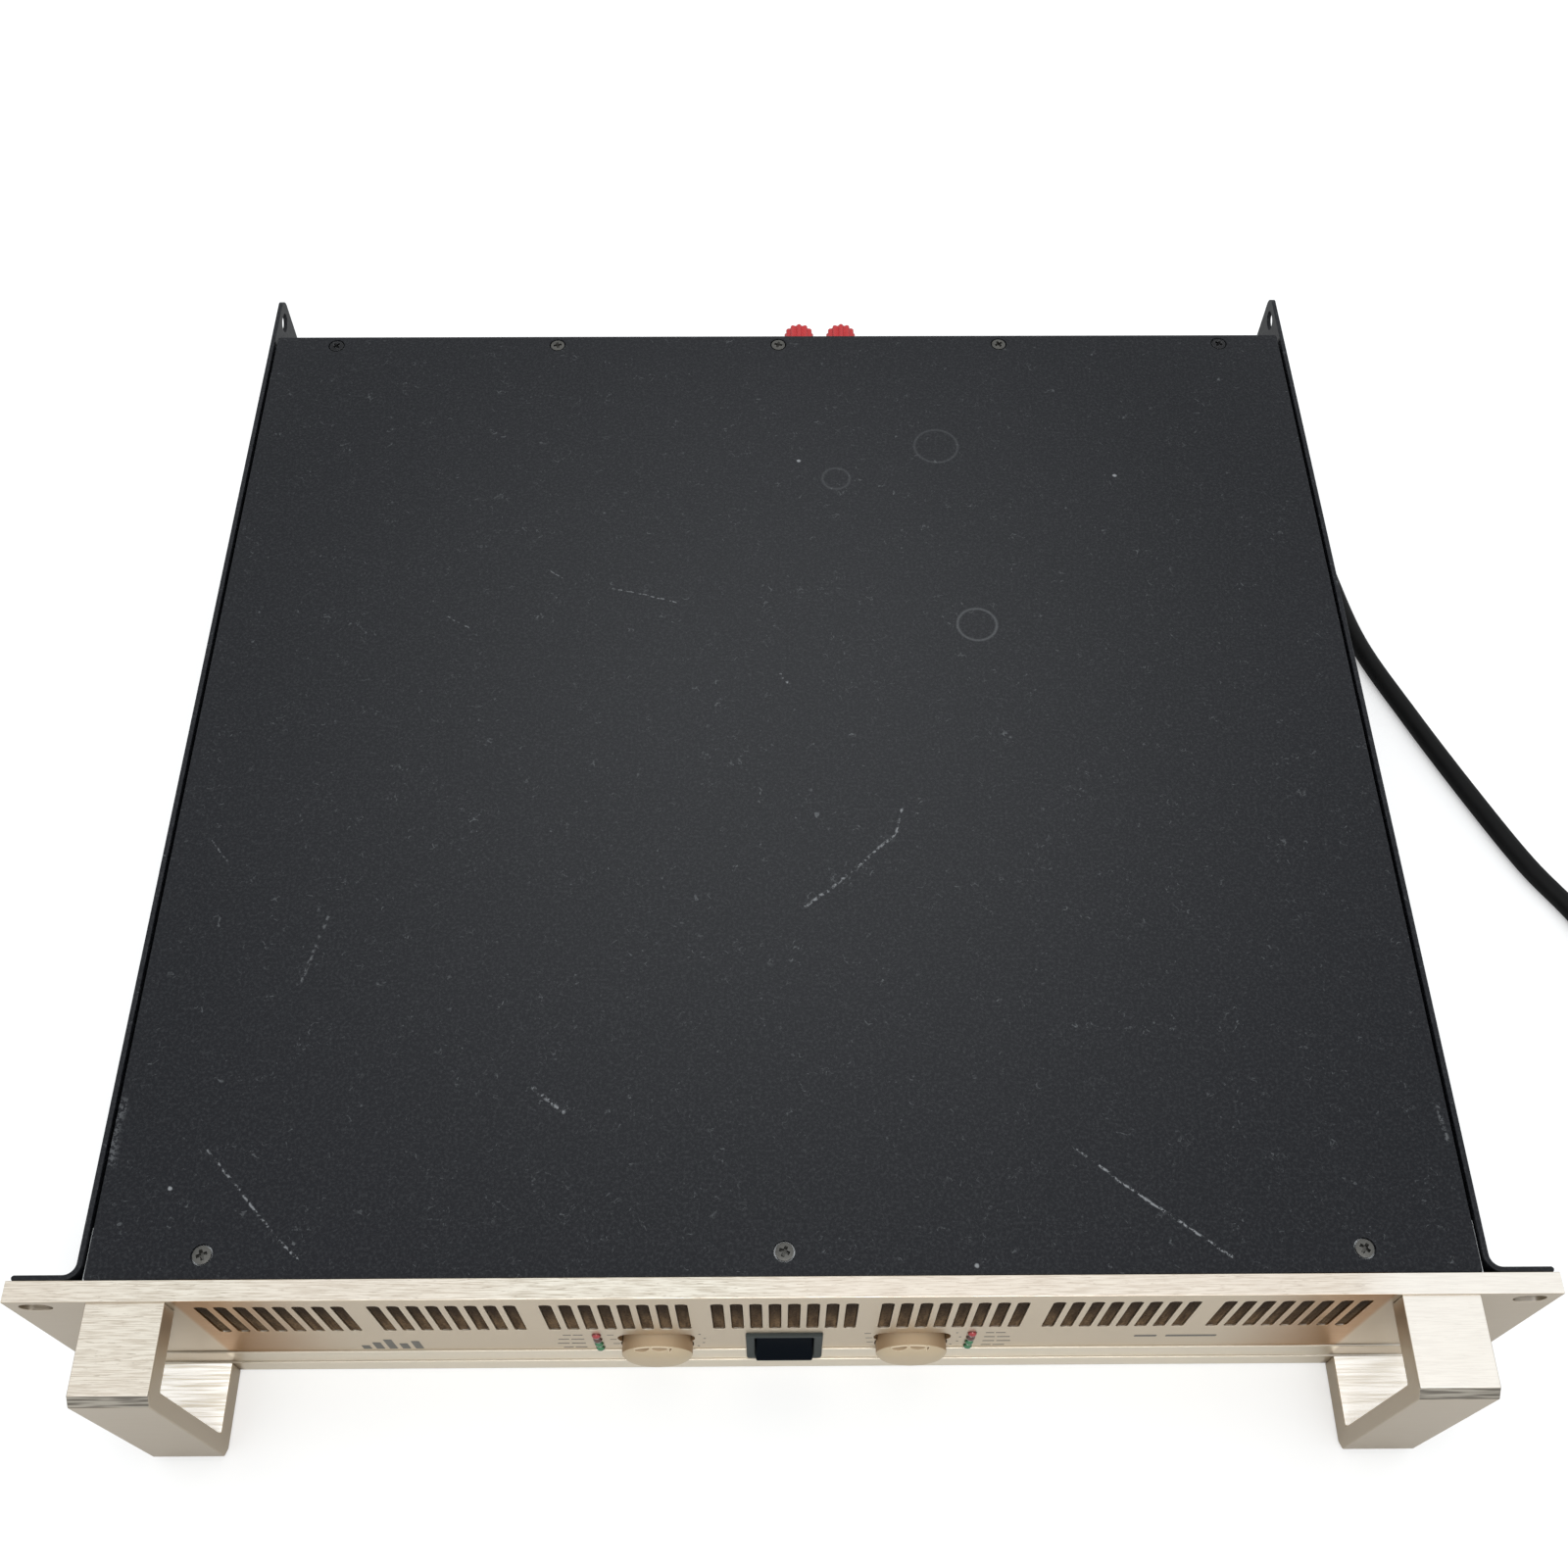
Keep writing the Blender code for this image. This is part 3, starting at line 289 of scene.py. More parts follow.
def block(name, low, high, edge):
    """Box between two corners, with rounded edges."""
    shape = bmesh.new()
    size = Vector(high) - Vector(low)
    centre = (Vector(high) + Vector(low)) / 2
    place = Matrix.Translation(centre) @ Matrix.Diagonal((*size, 1.0))
    bmesh.ops.create_cube(shape, size=1.0, matrix=place)
    if edge > 0:
        bmesh.ops.bevel(
            shape, geom=shape.edges[:], offset=edge, segments=3, affect="EDGES", profile=0.5
        )
    return solid(name, shape)


def tube(name, path, radius):
    curve = bpy.data.curves.new(name, "CURVE")
    curve.dimensions = "3D"
    curve.bevel_depth = radius
    curve.bevel_resolution = 6
    curve.use_fill_caps = True
    spline = curve.splines.new("POLY")
    spline.points.add(len(path) - 1)
    for point, place in zip(spline.points, path):
        point.co = (*place, 1.0)
    return bake(add_object(name, curve))


def combine(target, others, operation="DIFFERENCE"):
    """Cut or join other solids into the target, which is returned as a new object."""
    for other in others:
        modifier = target.modifiers.new(other.name, "BOOLEAN")
        modifier.operation = operation
        modifier.solver = "EXACT"
        modifier.object = other
    result = bake(target)
    for other in others:
        bpy.data.objects.remove(other, do_unlink=True)
    return result


def join(name, objects):
    """One piece from several solids that belong together."""
    shape = bmesh.new()
    for obj in objects:
        shape.from_mesh(obj.data)
        bpy.data.objects.remove(obj, do_unlink=True)
    return solid(name, shape)


def fit(piece, paint, nodes=(), body=MAIN):
    """Finish a piece: even out its shading, paint it and set it on its body."""
    even = piece.modifiers.new("even_shading", "WEIGHTED_NORMAL")
    even.keep_sharp = True
    even.weight = 100
    piece.data.materials.clear()
    piece.data.materials.append(paint)
    if nodes:
        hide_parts(*nodes)
    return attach(piece, body)


# Materials --------------------------------------------------------------------------------


class Paint:
    """A material under construction, with short calls for the nodes it needs."""

    def __init__(self, name):
        self.material = bpy.data.materials.new(name)
        self.material.use_nodes = True
        self.tree = self.material.node_tree
        self.shader = self.tree.nodes["Principled BSDF"]
        where = self.tree.nodes.new("ShaderNodeTexCoord")
        self.place = where.outputs["Object"]
        self.normal = where.outputs["Normal"]
        self.relief = None

    def node(self, kind, values=(), output=0, **settings):
        made = self.tree.nodes.new("ShaderNode" + kind)
        for key, value in settings.items():
            setattr(made, key, value)
        for key, value in dict(values).items():
            self.feed(made.inputs[key], value)
        return made.outputs[output]

    def feed(self, socket, value):
        if isinstance(value, bpy.types.NodeSocket):
            self.tree.links.new(value, socket)
        else:
            socket.default_value = value

    def calc(self, operation, *values):
        return self.node("Math", enumerate(values), operation=operation)

    def both(self, first, second):
        """Product of two masks or numbers: it holds where both hold."""
        return self.calc("MULTIPLY", first, second)

    def vector(self, operation, *values):
        output = 1 if operation in ("LENGTH", "DOT_PRODUCT", "DISTANCE") else 0
        return self.node("VectorMath", enumerate(values), output, operation=operation)

    def stretched(self, x, y, z):
        return self.vector("MULTIPLY", self.place, (x, y, z))

    def noise(self, scale, detail=2.0, rough=0.5, at=None, warp=0.0):
        values = {
            "Vector": at or self.place, "Scale": scale, "Detail": detail,
            "Roughness": rough, "Distortion": warp,
        }
        return self.node("TexNoise", values)

    def ramp(self, value, low, high, bottom=0.0, top=1.0):
        values = {0: value, 1: low, 2: high, 3: bottom, 4: top}
        return self.node("MapRange", values, interpolation_type="SMOOTHSTEP")

    def mix(self, factor, first, second):
        values = {0: factor, 6: colour(first), 7: colour(second)}
        return self.node("Mix", values, 2, data_type="RGBA")

    def facing(self, axis):
        """Share of a face's normal along an axis, from -1 to 1, in the piece's own frame."""
        return self.node("SeparateXYZ", {0: self.normal}, axis)

    def along(self, axis):
        return self.node("SeparateXYZ", {0: self.place}, axis)

    def bump(self, height, depth, strength):
        """Lay relief on the surface; the height runs from 0 to 1 and the depth is in metres."""
        values = {"Strength": strength, "Distance": depth, "Height": height}
        if self.relief is not None:
            values["Normal"] = self.relief
        self.relief = self.node("Bump", values)

    def edge_wear_and_highlight(self, radius, low=0.05, high=0.35):
        """Mask that is 1 on the piece's edges, from the angle between true and rounded normals."""
        rounded = self.node("Bevel", {"Radius": radius}, samples=3)
        true = self.node("NewGeometry", (), "Normal")
        same = self.vector("DOT_PRODUCT", rounded, true)
        return self.ramp(self.calc("SUBTRACT", 1.0, same), low, high)

    def finish(self, **values):
        """Set the shader's inputs, with underscores for spaces, and return the material."""
        for key, value in values.items():
            socket = self.shader.inputs[key.replace("_", " ")]
            self.feed(socket, colour(value) if socket.type == "RGBA" else value)
        if self.relief is not None:
            self.feed(self.shader.inputs["Normal"], self.relief)
        return self.material


def colour(value):
    if isinstance(value, bpy.types.NodeSocket) or len(value) == 4:
        return value
    return (*value, 1.0)


def brushed_tops(paint, strokes):
    """Surfaces that look up: coarse strokes along X, small pits and a faint blush, in a lighter tone than the
    upright faces that is a painted highlight for bright light from above.
    """
    pits = paint.ramp(paint.noise(1.0, 3.0, 0.6, paint.stretched(210, 2600, 2600)), 0.60, 0.70)
    blush = paint.ramp(paint.noise(6.0, 2.0), 0.42, 0.62, 0.0, 0.45)
    top = paint.mix(paint.ramp(strokes, 0.36, 0.60), (0.600, 0.530, 0.430), (0.850, 0.795, 0.690))
    top = paint.mix(paint.both(pits, 0.75), top, (0.330, 0.265, 0.190))
    return paint.mix(blush, top, (0.810, 0.680, 0.580))


def ledge_tops(paint, top, low):
    """The panel's two narrow ledges: painted shade in the crease and a painted highlight at the lip."""
    steps_in = paint.calc("DIVIDE", paint.calc("SUBTRACT", FACE, paint.along(1)), LEDGE_STEP)
    # Painted shade in the crease and a painted highlight at the lip, by depth across each step
    lip = paint.ramp(paint.calc("FRACT", steps_in), 0.30, 0.60)
    ledge = paint.both(low, paint.ramp(paint.along(1), *reversed(ARM_TOPS)))
    return paint.mix(ledge, top, paint.mix(lip, (0.150, 0.115, 0.080), (0.640, 0.580, 0.480)))


def satin_faces(paint, cloud, side):
    """Upright surfaces: painted shade and warm reflection by the handles, duller at the ends, and a painted
    reflection that makes them lighter below the upper ledge.
    """
    corner = paint.both(paint.ramp(side, *CORNERS), paint.ramp(side, *CORNERS_END, 1.0, 0.0))
    ledge = below(UPPER_LEDGE)
    # Painted reflection: the faces below the upper ledge are lighter, as if they caught a brighter floor
    foot = paint.both(
        paint.ramp(paint.along(2), ledge + 0.0001, ledge - 0.0001), paint.ramp(side, *reversed(CORNERS_END))
    )
    face = paint.mix(cloud, (0.625, 0.528, 0.402), (0.678, 0.575, 0.438))
    # Painted shade: the face darkens to a warm brown near the handles, for the shade and reflected gold there
    face = paint.mix(paint.both(corner, 0.95), face, (0.420, 0.228, 0.088))
    face = paint.mix(paint.ramp(side, *OUTER_FACES), face, (0.500, 0.425, 0.330))
    return paint.mix(foot, face, (0.860, 0.780, 0.650))


def painted_dark_chamfers(paint, base, layers):
    """The handles' front chamfers: cut through the finish to grey, streaky metal, and painted dark as a
    reflection of a dim room.
    """
    facing = paint.facing(2)
    sloping = paint.both(paint.ramp(facing, 0.45, 0.55), paint.ramp(facing, 0.90, 0.80))
    chamfer = paint.both(sloping, paint.ramp(paint.along(1), *CHAMFERS))
    # Painted reflection: the streaky chamfer colours are dark for the dim room they reflect
    streaks = paint.mix(paint.ramp(layers, 0.40, 0.60), (0.180, 0.160, 0.135), (0.430, 0.390, 0.330))
    return paint.mix(chamfer, base, streaks)


def champagne_aluminium():
    """Anodised extrusion: satin faces, and coarse brushing along X on the faces that look up, which are
    painted lighter as a highlight.

    The tops of the lower arms, which no light reaches, carry painted light: a near-white colour that also
    glows, standing in for the light they lack.
    """
    paint = Paint("champagne_aluminium")
    up = paint.ramp(paint.facing(2), 0.78, 0.95)
    side = paint.calc("ABSOLUTE", paint.along(0))
    strokes = paint.noise(1.0, 3.0, 0.60, paint.stretched(105, 3000, 3000))
    layers = paint.noise(1.0, 2.0, 0.5, paint.stretched(60, 1500, 1500))
    fine = paint.noise(1.0, 2.0, 0.5, paint.stretched(300, 9000, 9000))
    cloud = paint.noise(22.0, 3.0, 0.55)
    low = paint.ramp(paint.along(2), *LOW_TOPS)
    arms = paint.both(up, paint.both(low, paint.ramp(paint.along(1), *ARM_TOPS)))
    # Painted light: a near-white colour for the lower arms' tops, in place of light that does not reach them
    painted_arm_light = paint.mix(paint.ramp(layers, 0.30, 0.66), (0.640, 0.590, 0.500), (1.000, 0.985, 0.950))
    top = paint.mix(arms, brushed_tops(paint, strokes), painted_arm_light)
    top = ledge_tops(paint, top, low)
    # Painted highlight: the upper surfaces turn near-white towards the right end
    top = paint.mix(paint.ramp(paint.along(0), *PAINTED_HIGHLIGHT_END, 0.0, 0.60), top, (1.000, 0.960, 0.900))
    # Upward faces take the lighter top tone, a painted highlight for the bright light from above
    base = painted_dark_chamfers(paint, paint.mix(up, satin_faces(paint, cloud, side), top), layers)
    worn = paint.both(paint.edge_wear_and_highlight(0.0005), 0.35)
    base = paint.mix(worn, base, (0.88, 0.85, 0.78))
    rough = paint.calc("MULTIPLY_ADD", strokes, 0.16, 0.26)
    rough = paint.calc("MULTIPLY_ADD", cloud, 0.08, rough)
    paint.bump(strokes, 0.00005, paint.calc("MULTIPLY_ADD", up, 0.60, 0.06))
    paint.bump(fine, 0.00002, paint.calc("MULTIPLY_ADD", up, 0.25, 0.05))
    # The emission is painted light on the lower arms' tops, which are no lamp
    return paint.finish(
        Base_Color=base, Metallic=paint.calc("MULTIPLY_ADD", arms, -0.85, 1.0), Roughness=rough,
        Emission_Color=painted_arm_light, Emission_Strength=paint.both(arms, 0.46),
    )


def scratch_group():
    """Node group that is 1 on a straight mark from A to B and fades out over its width."""
    tree = bpy.data.node_groups.new("mark", "ShaderNodeTree")
    for name, kind in (("Place", "Vector"), ("A", "Vector"), ("B", "Vector"), ("Width", "Float")):
        tree.interface.new_socket(name, in_out="INPUT", socket_type="NodeSocket" + kind)
    tree.interface.new_socket("Mask", in_out="OUTPUT", socket_type="NodeSocketFloat")
    given = tree.nodes.new("NodeGroupInput").outputs
    result = tree.nodes.new("NodeGroupOutput").inputs[0]

    def vector(operation, first, second=None, scale=None):
        made = tree.nodes.new("ShaderNodeVectorMath")
        made.operation = operation
        tree.links.new(first, made.inputs[0])
        if second is not None:
            tree.links.new(second, made.inputs[1])
        if scale is not None:
            tree.links.new(scale, made.inputs["Scale"])
        return made.outputs["Value" if operation in ("DOT_PRODUCT", "LENGTH") else "Vector"]

    offset = vector("SUBTRACT", given["Place"], given["A"])
    line = vector("SUBTRACT", given["B"], given["A"])
    share = tree.nodes.new("ShaderNodeMath")
    share.operation = "DIVIDE"
    share.use_clamp = True
    tree.links.new(vector("DOT_PRODUCT", offset, line), share.inputs[0])
    tree.links.new(vector("DOT_PRODUCT", line, line), share.inputs[1])
    nearest = vector("SCALE", line, scale=share.outputs[0])
    distance = vector("LENGTH", vector("SUBTRACT", offset, nearest))
    fade = tree.nodes.new("ShaderNodeMapRange")
    fade.interpolation_type = "SMOOTHSTEP"
    tree.links.new(distance, fade.inputs[0])
    tree.links.new(given["Width"], fade.inputs[2])
    fade.inputs[3].default_value = 1.0
    fade.inputs[4].default_value = 0.0
    tree.links.new(fade.outputs[0], result)
    return tree


# Handling marks on the lid: the points each runs through, its half width and its strength
LID_MARKS = (
    (((0.0929, -0.1619), (0.1098, -0.1757), (0.1403, -0.1987)), 0.00045, 0.75),
    (((-0.1875, -0.1609), (-0.1753, -0.1740), (-0.1603, -0.1904), (-0.1522, -0.1976)), 0.0004, 0.65),
    (((-0.0822, -0.1416), (-0.0720, -0.1501)), 0.0007, 0.60),
    (((0.0082, -0.0750), (0.0180, -0.0673), (0.0414, -0.0455), (0.0436, -0.0353)), 0.0006, 0.60),
    (((0.0002, 0.0244), (0.0028, 0.0203)), 0.0006, 0.70),
    (((-0.0660, 0.0660), (-0.0523, 0.0626), (-0.0407, 0.0587)), 0.0003, 0.50),
    (((-0.1302, 0.0528), (-0.1209, 0.0471)), 0.0003, 0.40),
    (((-0.0916, 0.0750), (-0.0856, 0.0710)), 0.0003, 0.35),
    (((-0.1585, -0.0779), (-0.1650, -0.1040)), 0.0007, 0.25),
    (((-0.2048, -0.0463), (-0.1958, -0.0583)), 0.0003, 0.35),
    (((-0.2165, -0.1460), (-0.2178, -0.1560), (-0.2165, -0.1660)), 0.0022, 0.22),
    (((0.2150, -0.1500), (0.2158, -0.1620)), 0.0008, 0.30),
)
LID_SPECKS = ((0.1385, 0.1236), (0.0081, 0.1322), (-0.1963, -0.1748), (0.0600, -0.2010))
LID_RINGS = (
    ((0.0766, 0.0477), 0.0076, 0.16), ((0.0655, 0.1401), 0.0090, 0.08), ((0.0234, 0.1225), 0.0056, 0.08),
)


def coat_colour(paint):
    """Textured black paint: fine crinkle, faint clouding, and dust caught in the crinkle."""
    crinkle = paint.noise(1000.0, 3.0, 0.66, warp=0.4)
    cloud = paint.noise(9.0, 3.0, 0.55)
    tint = paint.mix(cloud, (0.0042, 0.0049, 0.0066), (0.0064, 0.0066, 0.0092))
    tint = paint.mix(paint.ramp(crinkle, 0.42, 0.72), tint, (0.017, 0.018, 0.0205))
    flecks = paint.ramp(paint.noise(430.0, 4.0, 0.72, warp=1.2), 0.60, 0.70)
    flecks = paint.both(flecks, paint.ramp(paint.noise(70.0, 2.0), 0.42, 0.60, 0.15, 0.75))
    tint = paint.mix(flecks, tint, (0.075, 0.080, 0.084))
    paint.bump(crinkle, 0.00016, 0.45)
    paint.bump(paint.noise(260.0, 2.0, 0.5), 0.00016, 0.20)
    return tint


def black_coat():
    paint = Paint("black_coat")
    tint = coat_colour(paint)
    worn = paint.both(paint.edge_wear_and_highlight(0.0006), paint.ramp(paint.noise(180.0), 0.45, 0.65))
    tint = paint.mix(paint.both(worn, 0.55), tint, (0.16, 0.16, 0.17))
    return paint.finish(Base_Color=tint, Roughness=0.46, Specular_IOR_Level=0.20)


def lid_coat():
    """The same paint with the lid's own scratches, scuffs and ring stains."""
    paint = Paint("lid_coat")
    tint = coat_colour(paint)
    group = scratch_group()
    flat = paint.vector("MULTIPLY", paint.place, (1.0, 1.0, 0.0))
    shaky = paint.node("TexNoise", {"Vector": paint.place, "Scale": 260.0, "Detail": 2.0}, 1)
    shaky = paint.vector("MULTIPLY", paint.vector("SUBTRACT", shaky, (0.5, 0.5, 0.5)), (0.0016, 0.0016, 0.0))
    wandering = paint.vector("ADD", flat, shaky)
    total = 0.0
    for points, width, strength in LID_MARKS:
        for start, stop in zip(points, points[1:]):
            values = {"Place": wandering, "A": (*start, 0.0), "B": (*stop, 0.0), "Width": 1.4 * width}
            mask = paint.node("Group", (), node_tree=group)
            for key, value in values.items():
                paint.feed(mask.node.inputs[key], value)
            total = paint.calc("MAXIMUM", total, paint.both(mask, strength))
    broken = paint.ramp(paint.noise(520.0, 3.0, 0.7), 0.47, 0.56)
    total = paint.both(total, broken)
    for centre, radius, strength in LID_RINGS:
        away = paint.vector("DISTANCE", flat, (*centre, 0.0))
        off_line = paint.calc("ABSOLUTE", paint.calc("SUBTRACT", away, radius))
        band = paint.ramp(off_line, 0.0, 0.0009, strength, 0.0)
        total = paint.calc("MAXIMUM", total, band)
    for centre in LID_SPECKS:
        spot = paint.ramp(paint.vector("DISTANCE", wandering, (*centre, 0.0)), 0.0004, 0.0010, 0.75, 0.0)
        total = paint.calc("MAXIMUM", total, spot)
    tint = paint.mix(total, tint, (0.24, 0.25, 0.26))
    worn = paint.both(paint.edge_wear_and_highlight(0.0006), paint.ramp(paint.noise(160.0), 0.40, 0.62))
    tint = paint.mix(paint.both(worn, 0.2), tint, (0.15, 0.15, 0.16))
    off_centre = paint.vector("LENGTH", paint.vector("MULTIPLY", flat, (1 / 0.24, 1 / 0.24, 0.0)))
    burnish = paint.ramp(off_centre, 0.05, 1.15, 0.42, 0.17)
    return paint.finish(Base_Color=tint, Roughness=0.42, Specular_IOR_Level=burnish)


def bare_metal(name, dark, light, scale=900.0, rough=0.30, wear=0.6):
    """Plain metal with a fine uneven finish, tarnish and brighter edges."""
    paint = Paint(name)
    grain = paint.noise(scale, 3.0, 0.6)
    tarnish = paint.noise(scale / 6, 3.0, 0.6)
    tint = paint.mix(grain, dark, light)
    tint = paint.mix(paint.ramp(tarnish, 0.5, 0.75, 0.0, 0.5), tint, tuple(c * 0.45 for c in dark))
    tint = paint.mix(paint.both(paint.edge_wear_and_highlight(0.0003), wear), tint, (0.75, 0.75, 0.74))
    paint.bump(grain, 0.00004, 0.5)
    roughness = paint.ramp(grain, 0.2, 0.8, rough, rough + 0.25)
    return paint.finish(Base_Color=tint, Metallic=1.0, Roughness=roughness)


def moulded(name, dark, light, rough=0.40, grain=1400.0, depth=0.00003, sheen=0.4):
    """Moulded plastic or rubber with a fine pebbled skin and slight colour drift."""
    paint = Paint(name)
    pebbles = paint.noise(grain, 2.0, 0.5)
    drift = paint.noise(60.0, 3.0, 0.6)
    tint = paint.mix(drift, dark, light)
    rubbed = paint.both(paint.edge_wear_and_highlight(0.0005), 0.35)
    tint = paint.mix(rubbed, tint, tuple(min(1.0, c * 1.8 + 0.01) for c in light))
    paint.bump(pebbles, depth, 0.6)
    gloss = paint.ramp(drift, 0.3, 0.7, rough, rough + 0.12)
    return paint.finish(Base_Color=tint, Roughness=gloss, Specular_IOR_Level=sheen)


def filter_foam():
    """Open-cell foam, browned with dust that lies in streaks, and darker towards the top with painted shadow
    from the slots' top edges.
    """
    paint = Paint("filter_foam")
    cells = paint.node("TexVoronoi", {"Vector": paint.place, "Scale": 900.0}, 0)
    streaks = paint.noise(1.0, 3.0, 0.6, paint.stretched(520, 200, 60))
    tint = paint.mix(paint.ramp(streaks, 0.3, 0.7), (0.062, 0.036, 0.018), (0.155, 0.098, 0.052))
    tint = paint.mix(paint.ramp(cells, 0.1, 0.6, 0.55, 0.0), tint, (0.018, 0.011, 0.007))
    # Painted shadow: the foam darkens towards the top, where the slots' upper edges shade it
    painted_slot_shadow = paint.ramp(paint.along(2), below(0.036), below(0.010), 0.0, 0.90)
    tint = paint.mix(painted_slot_shadow, tint, (0.020, 0.012, 0.007))
    paint.bump(cells, 0.0006, 0.8)
    return paint.finish(Base_Color=tint, Roughness=0.95, Specular_IOR_Level=0.1)


def circuit_board():
    """Green solder mask with tracks and pads."""
    paint = Paint("board_laminate")
    tracks = paint.node("TexBrick", {
        "Vector": paint.place, "Scale": 160.0, "Mortar Size": 0.045,
        "Color1": (0.012, 0.075, 0.030, 1.0), "Color2": (0.018, 0.095, 0.038, 1.0),
        "Mortar": (0.045, 0.170, 0.065, 1.0),
    })
    pads = paint.node("TexVoronoi", {"Vector": paint.place, "Scale": 260.0}, 0)
    pad = paint.ramp(pads, 0.16, 0.20, 0.8, 0.0)
    tint = paint.mix(pad, tracks, (0.55, 0.55, 0.52))
    return paint.finish(Base_Color=tint, Metallic=pad, Roughness=0.38)


def winding():
    """Lacquered copper wire wound over a ring."""
    paint = Paint("copper_winding")
    centre = middle("power_transformer")
    local = paint.vector("SUBTRACT", paint.place, tuple(centre))
    x = paint.node("SeparateXYZ", {0: local}, 0)
    y = paint.node("SeparateXYZ", {0: local}, 1)
    turn = paint.calc("ARCTAN2", y, x)
    wires = paint.calc("SINE", paint.both(turn, 190.0))
    height = paint.calc("MULTIPLY_ADD", wires, 0.5, 0.5)
    tint = paint.mix(height, (0.22, 0.075, 0.030), (0.70, 0.30, 0.14))
    paint.bump(height, 0.0004, 0.8)
    return paint.finish(Base_Color=tint, Metallic=0.85, Roughness=0.32, Coat_Weight=0.5)


def knob_plastic():
    """Cream plastic; its side is painted browner and darker where it turns left and right, as shade, and its
    rim edges carry a painted highlight.
    """
    paint = Paint("knob_plastic")
    drift = paint.noise(90.0, 3.0, 0.6)
    face = paint.mix(drift, (0.440, 0.345, 0.225), (0.500, 0.400, 0.268))
    around = paint.calc("ABSOLUTE", paint.facing(0))
    # Painted shade: the side darkens to brown where its normal turns to the left and right
    rim = paint.mix(paint.ramp(around, 0.25, 1.0), (0.430, 0.315, 0.200), (0.290, 0.185, 0.100))
    tint = paint.mix(paint.ramp(paint.facing(1), -0.45, -0.08), face, rim)
    # Painted highlight: a bright cream line on the knob's rim edges
    painted_rim_highlight = paint.both(paint.edge_wear_and_highlight(0.0005, 0.03, 0.20), 0.9)
    tint = paint.mix(painted_rim_highlight, tint, (0.820, 0.700, 0.520))
    paint.bump(paint.noise(1400.0), 0.00003, 0.6)
    return paint.finish(Base_Color=tint, Roughness=0.42, Specular_IOR_Level=0.3)


def lens(name, tint, glow):
    """Tinted lamp lens: glossy, slightly clouded, with a paler heart."""
    paint = Paint(name)
    rim = paint.node("LayerWeight", {"Blend": 0.35}, 1)
    haze = paint.noise(900.0, 2.0, 0.5)
    body = paint.mix(rim, glow, tint)
    body = paint.mix(paint.ramp(haze, 0.4, 0.7, 0.0, 0.35), body, tuple(c * 0.5 for c in tint))
    body = paint.mix(paint.ramp(paint.facing(1), -0.45, -0.10, 0.0, 0.6), body, tuple(c * 0.15 for c in tint))
    paint.bump(haze, 0.00003, 0.4)
    return paint.finish(Base_Color=body, Roughness=0.22, Coat_Weight=0.6, Subsurface_Weight=0.15)


def ink():
    """Silk-screened ink, a little thin and uneven."""
    paint = Paint("screen_ink")
    thin = paint.noise(1600.0, 2.0, 0.6)
    tint = paint.mix(thin, (0.060, 0.058, 0.050), (0.150, 0.135, 0.110))
    return paint.finish(Base_Color=tint, Roughness=0.55)


# Pieces of the front ----------------------------------------------------------------------


def slot_outlines(inset=0.0):
    width, height = (side - 2 * inset for side in SLOT_SIZE)
    loops = []
    for group in range(SLOT_GROUPS):
        centre = (group - (SLOT_GROUPS - 1) / 2) * GROUP_PITCH
        for index in range(SLOTS_IN_GROUP):
            x = centre + (index - (SLOTS_IN_GROUP - 1) / 2) * SLOT_PITCH
            loops.append(rectangle((x, below(SLOT_DROP)), width, height, SLOT_RADIUS - inset, 5))
    return loops


def rack_slot_outlines(sides=(-1, 1)):
    heights = (PANEL_HIGH.z - RACK_SLOT_INSET, PANEL_LOW.z + RACK_SLOT_INSET)
    return [oval((side * RACK_SLOT_X, z), *RACK_SLOT) for side in sides for z in heights]


def through_panel(name, loops):
    return plate(name, loops, FACE - CLEAR, PANEL_HIGH.y + CLEAR, "XZ")


def flared(name, loops, rim):
    """Cutter that opens each outline to a 45 degree rim at the panel's face."""
    lip = 0.00005
    return plate(name, loops, FACE + rim + lip, FACE - 0.004, "XZ", rim + lip, 0, rim)


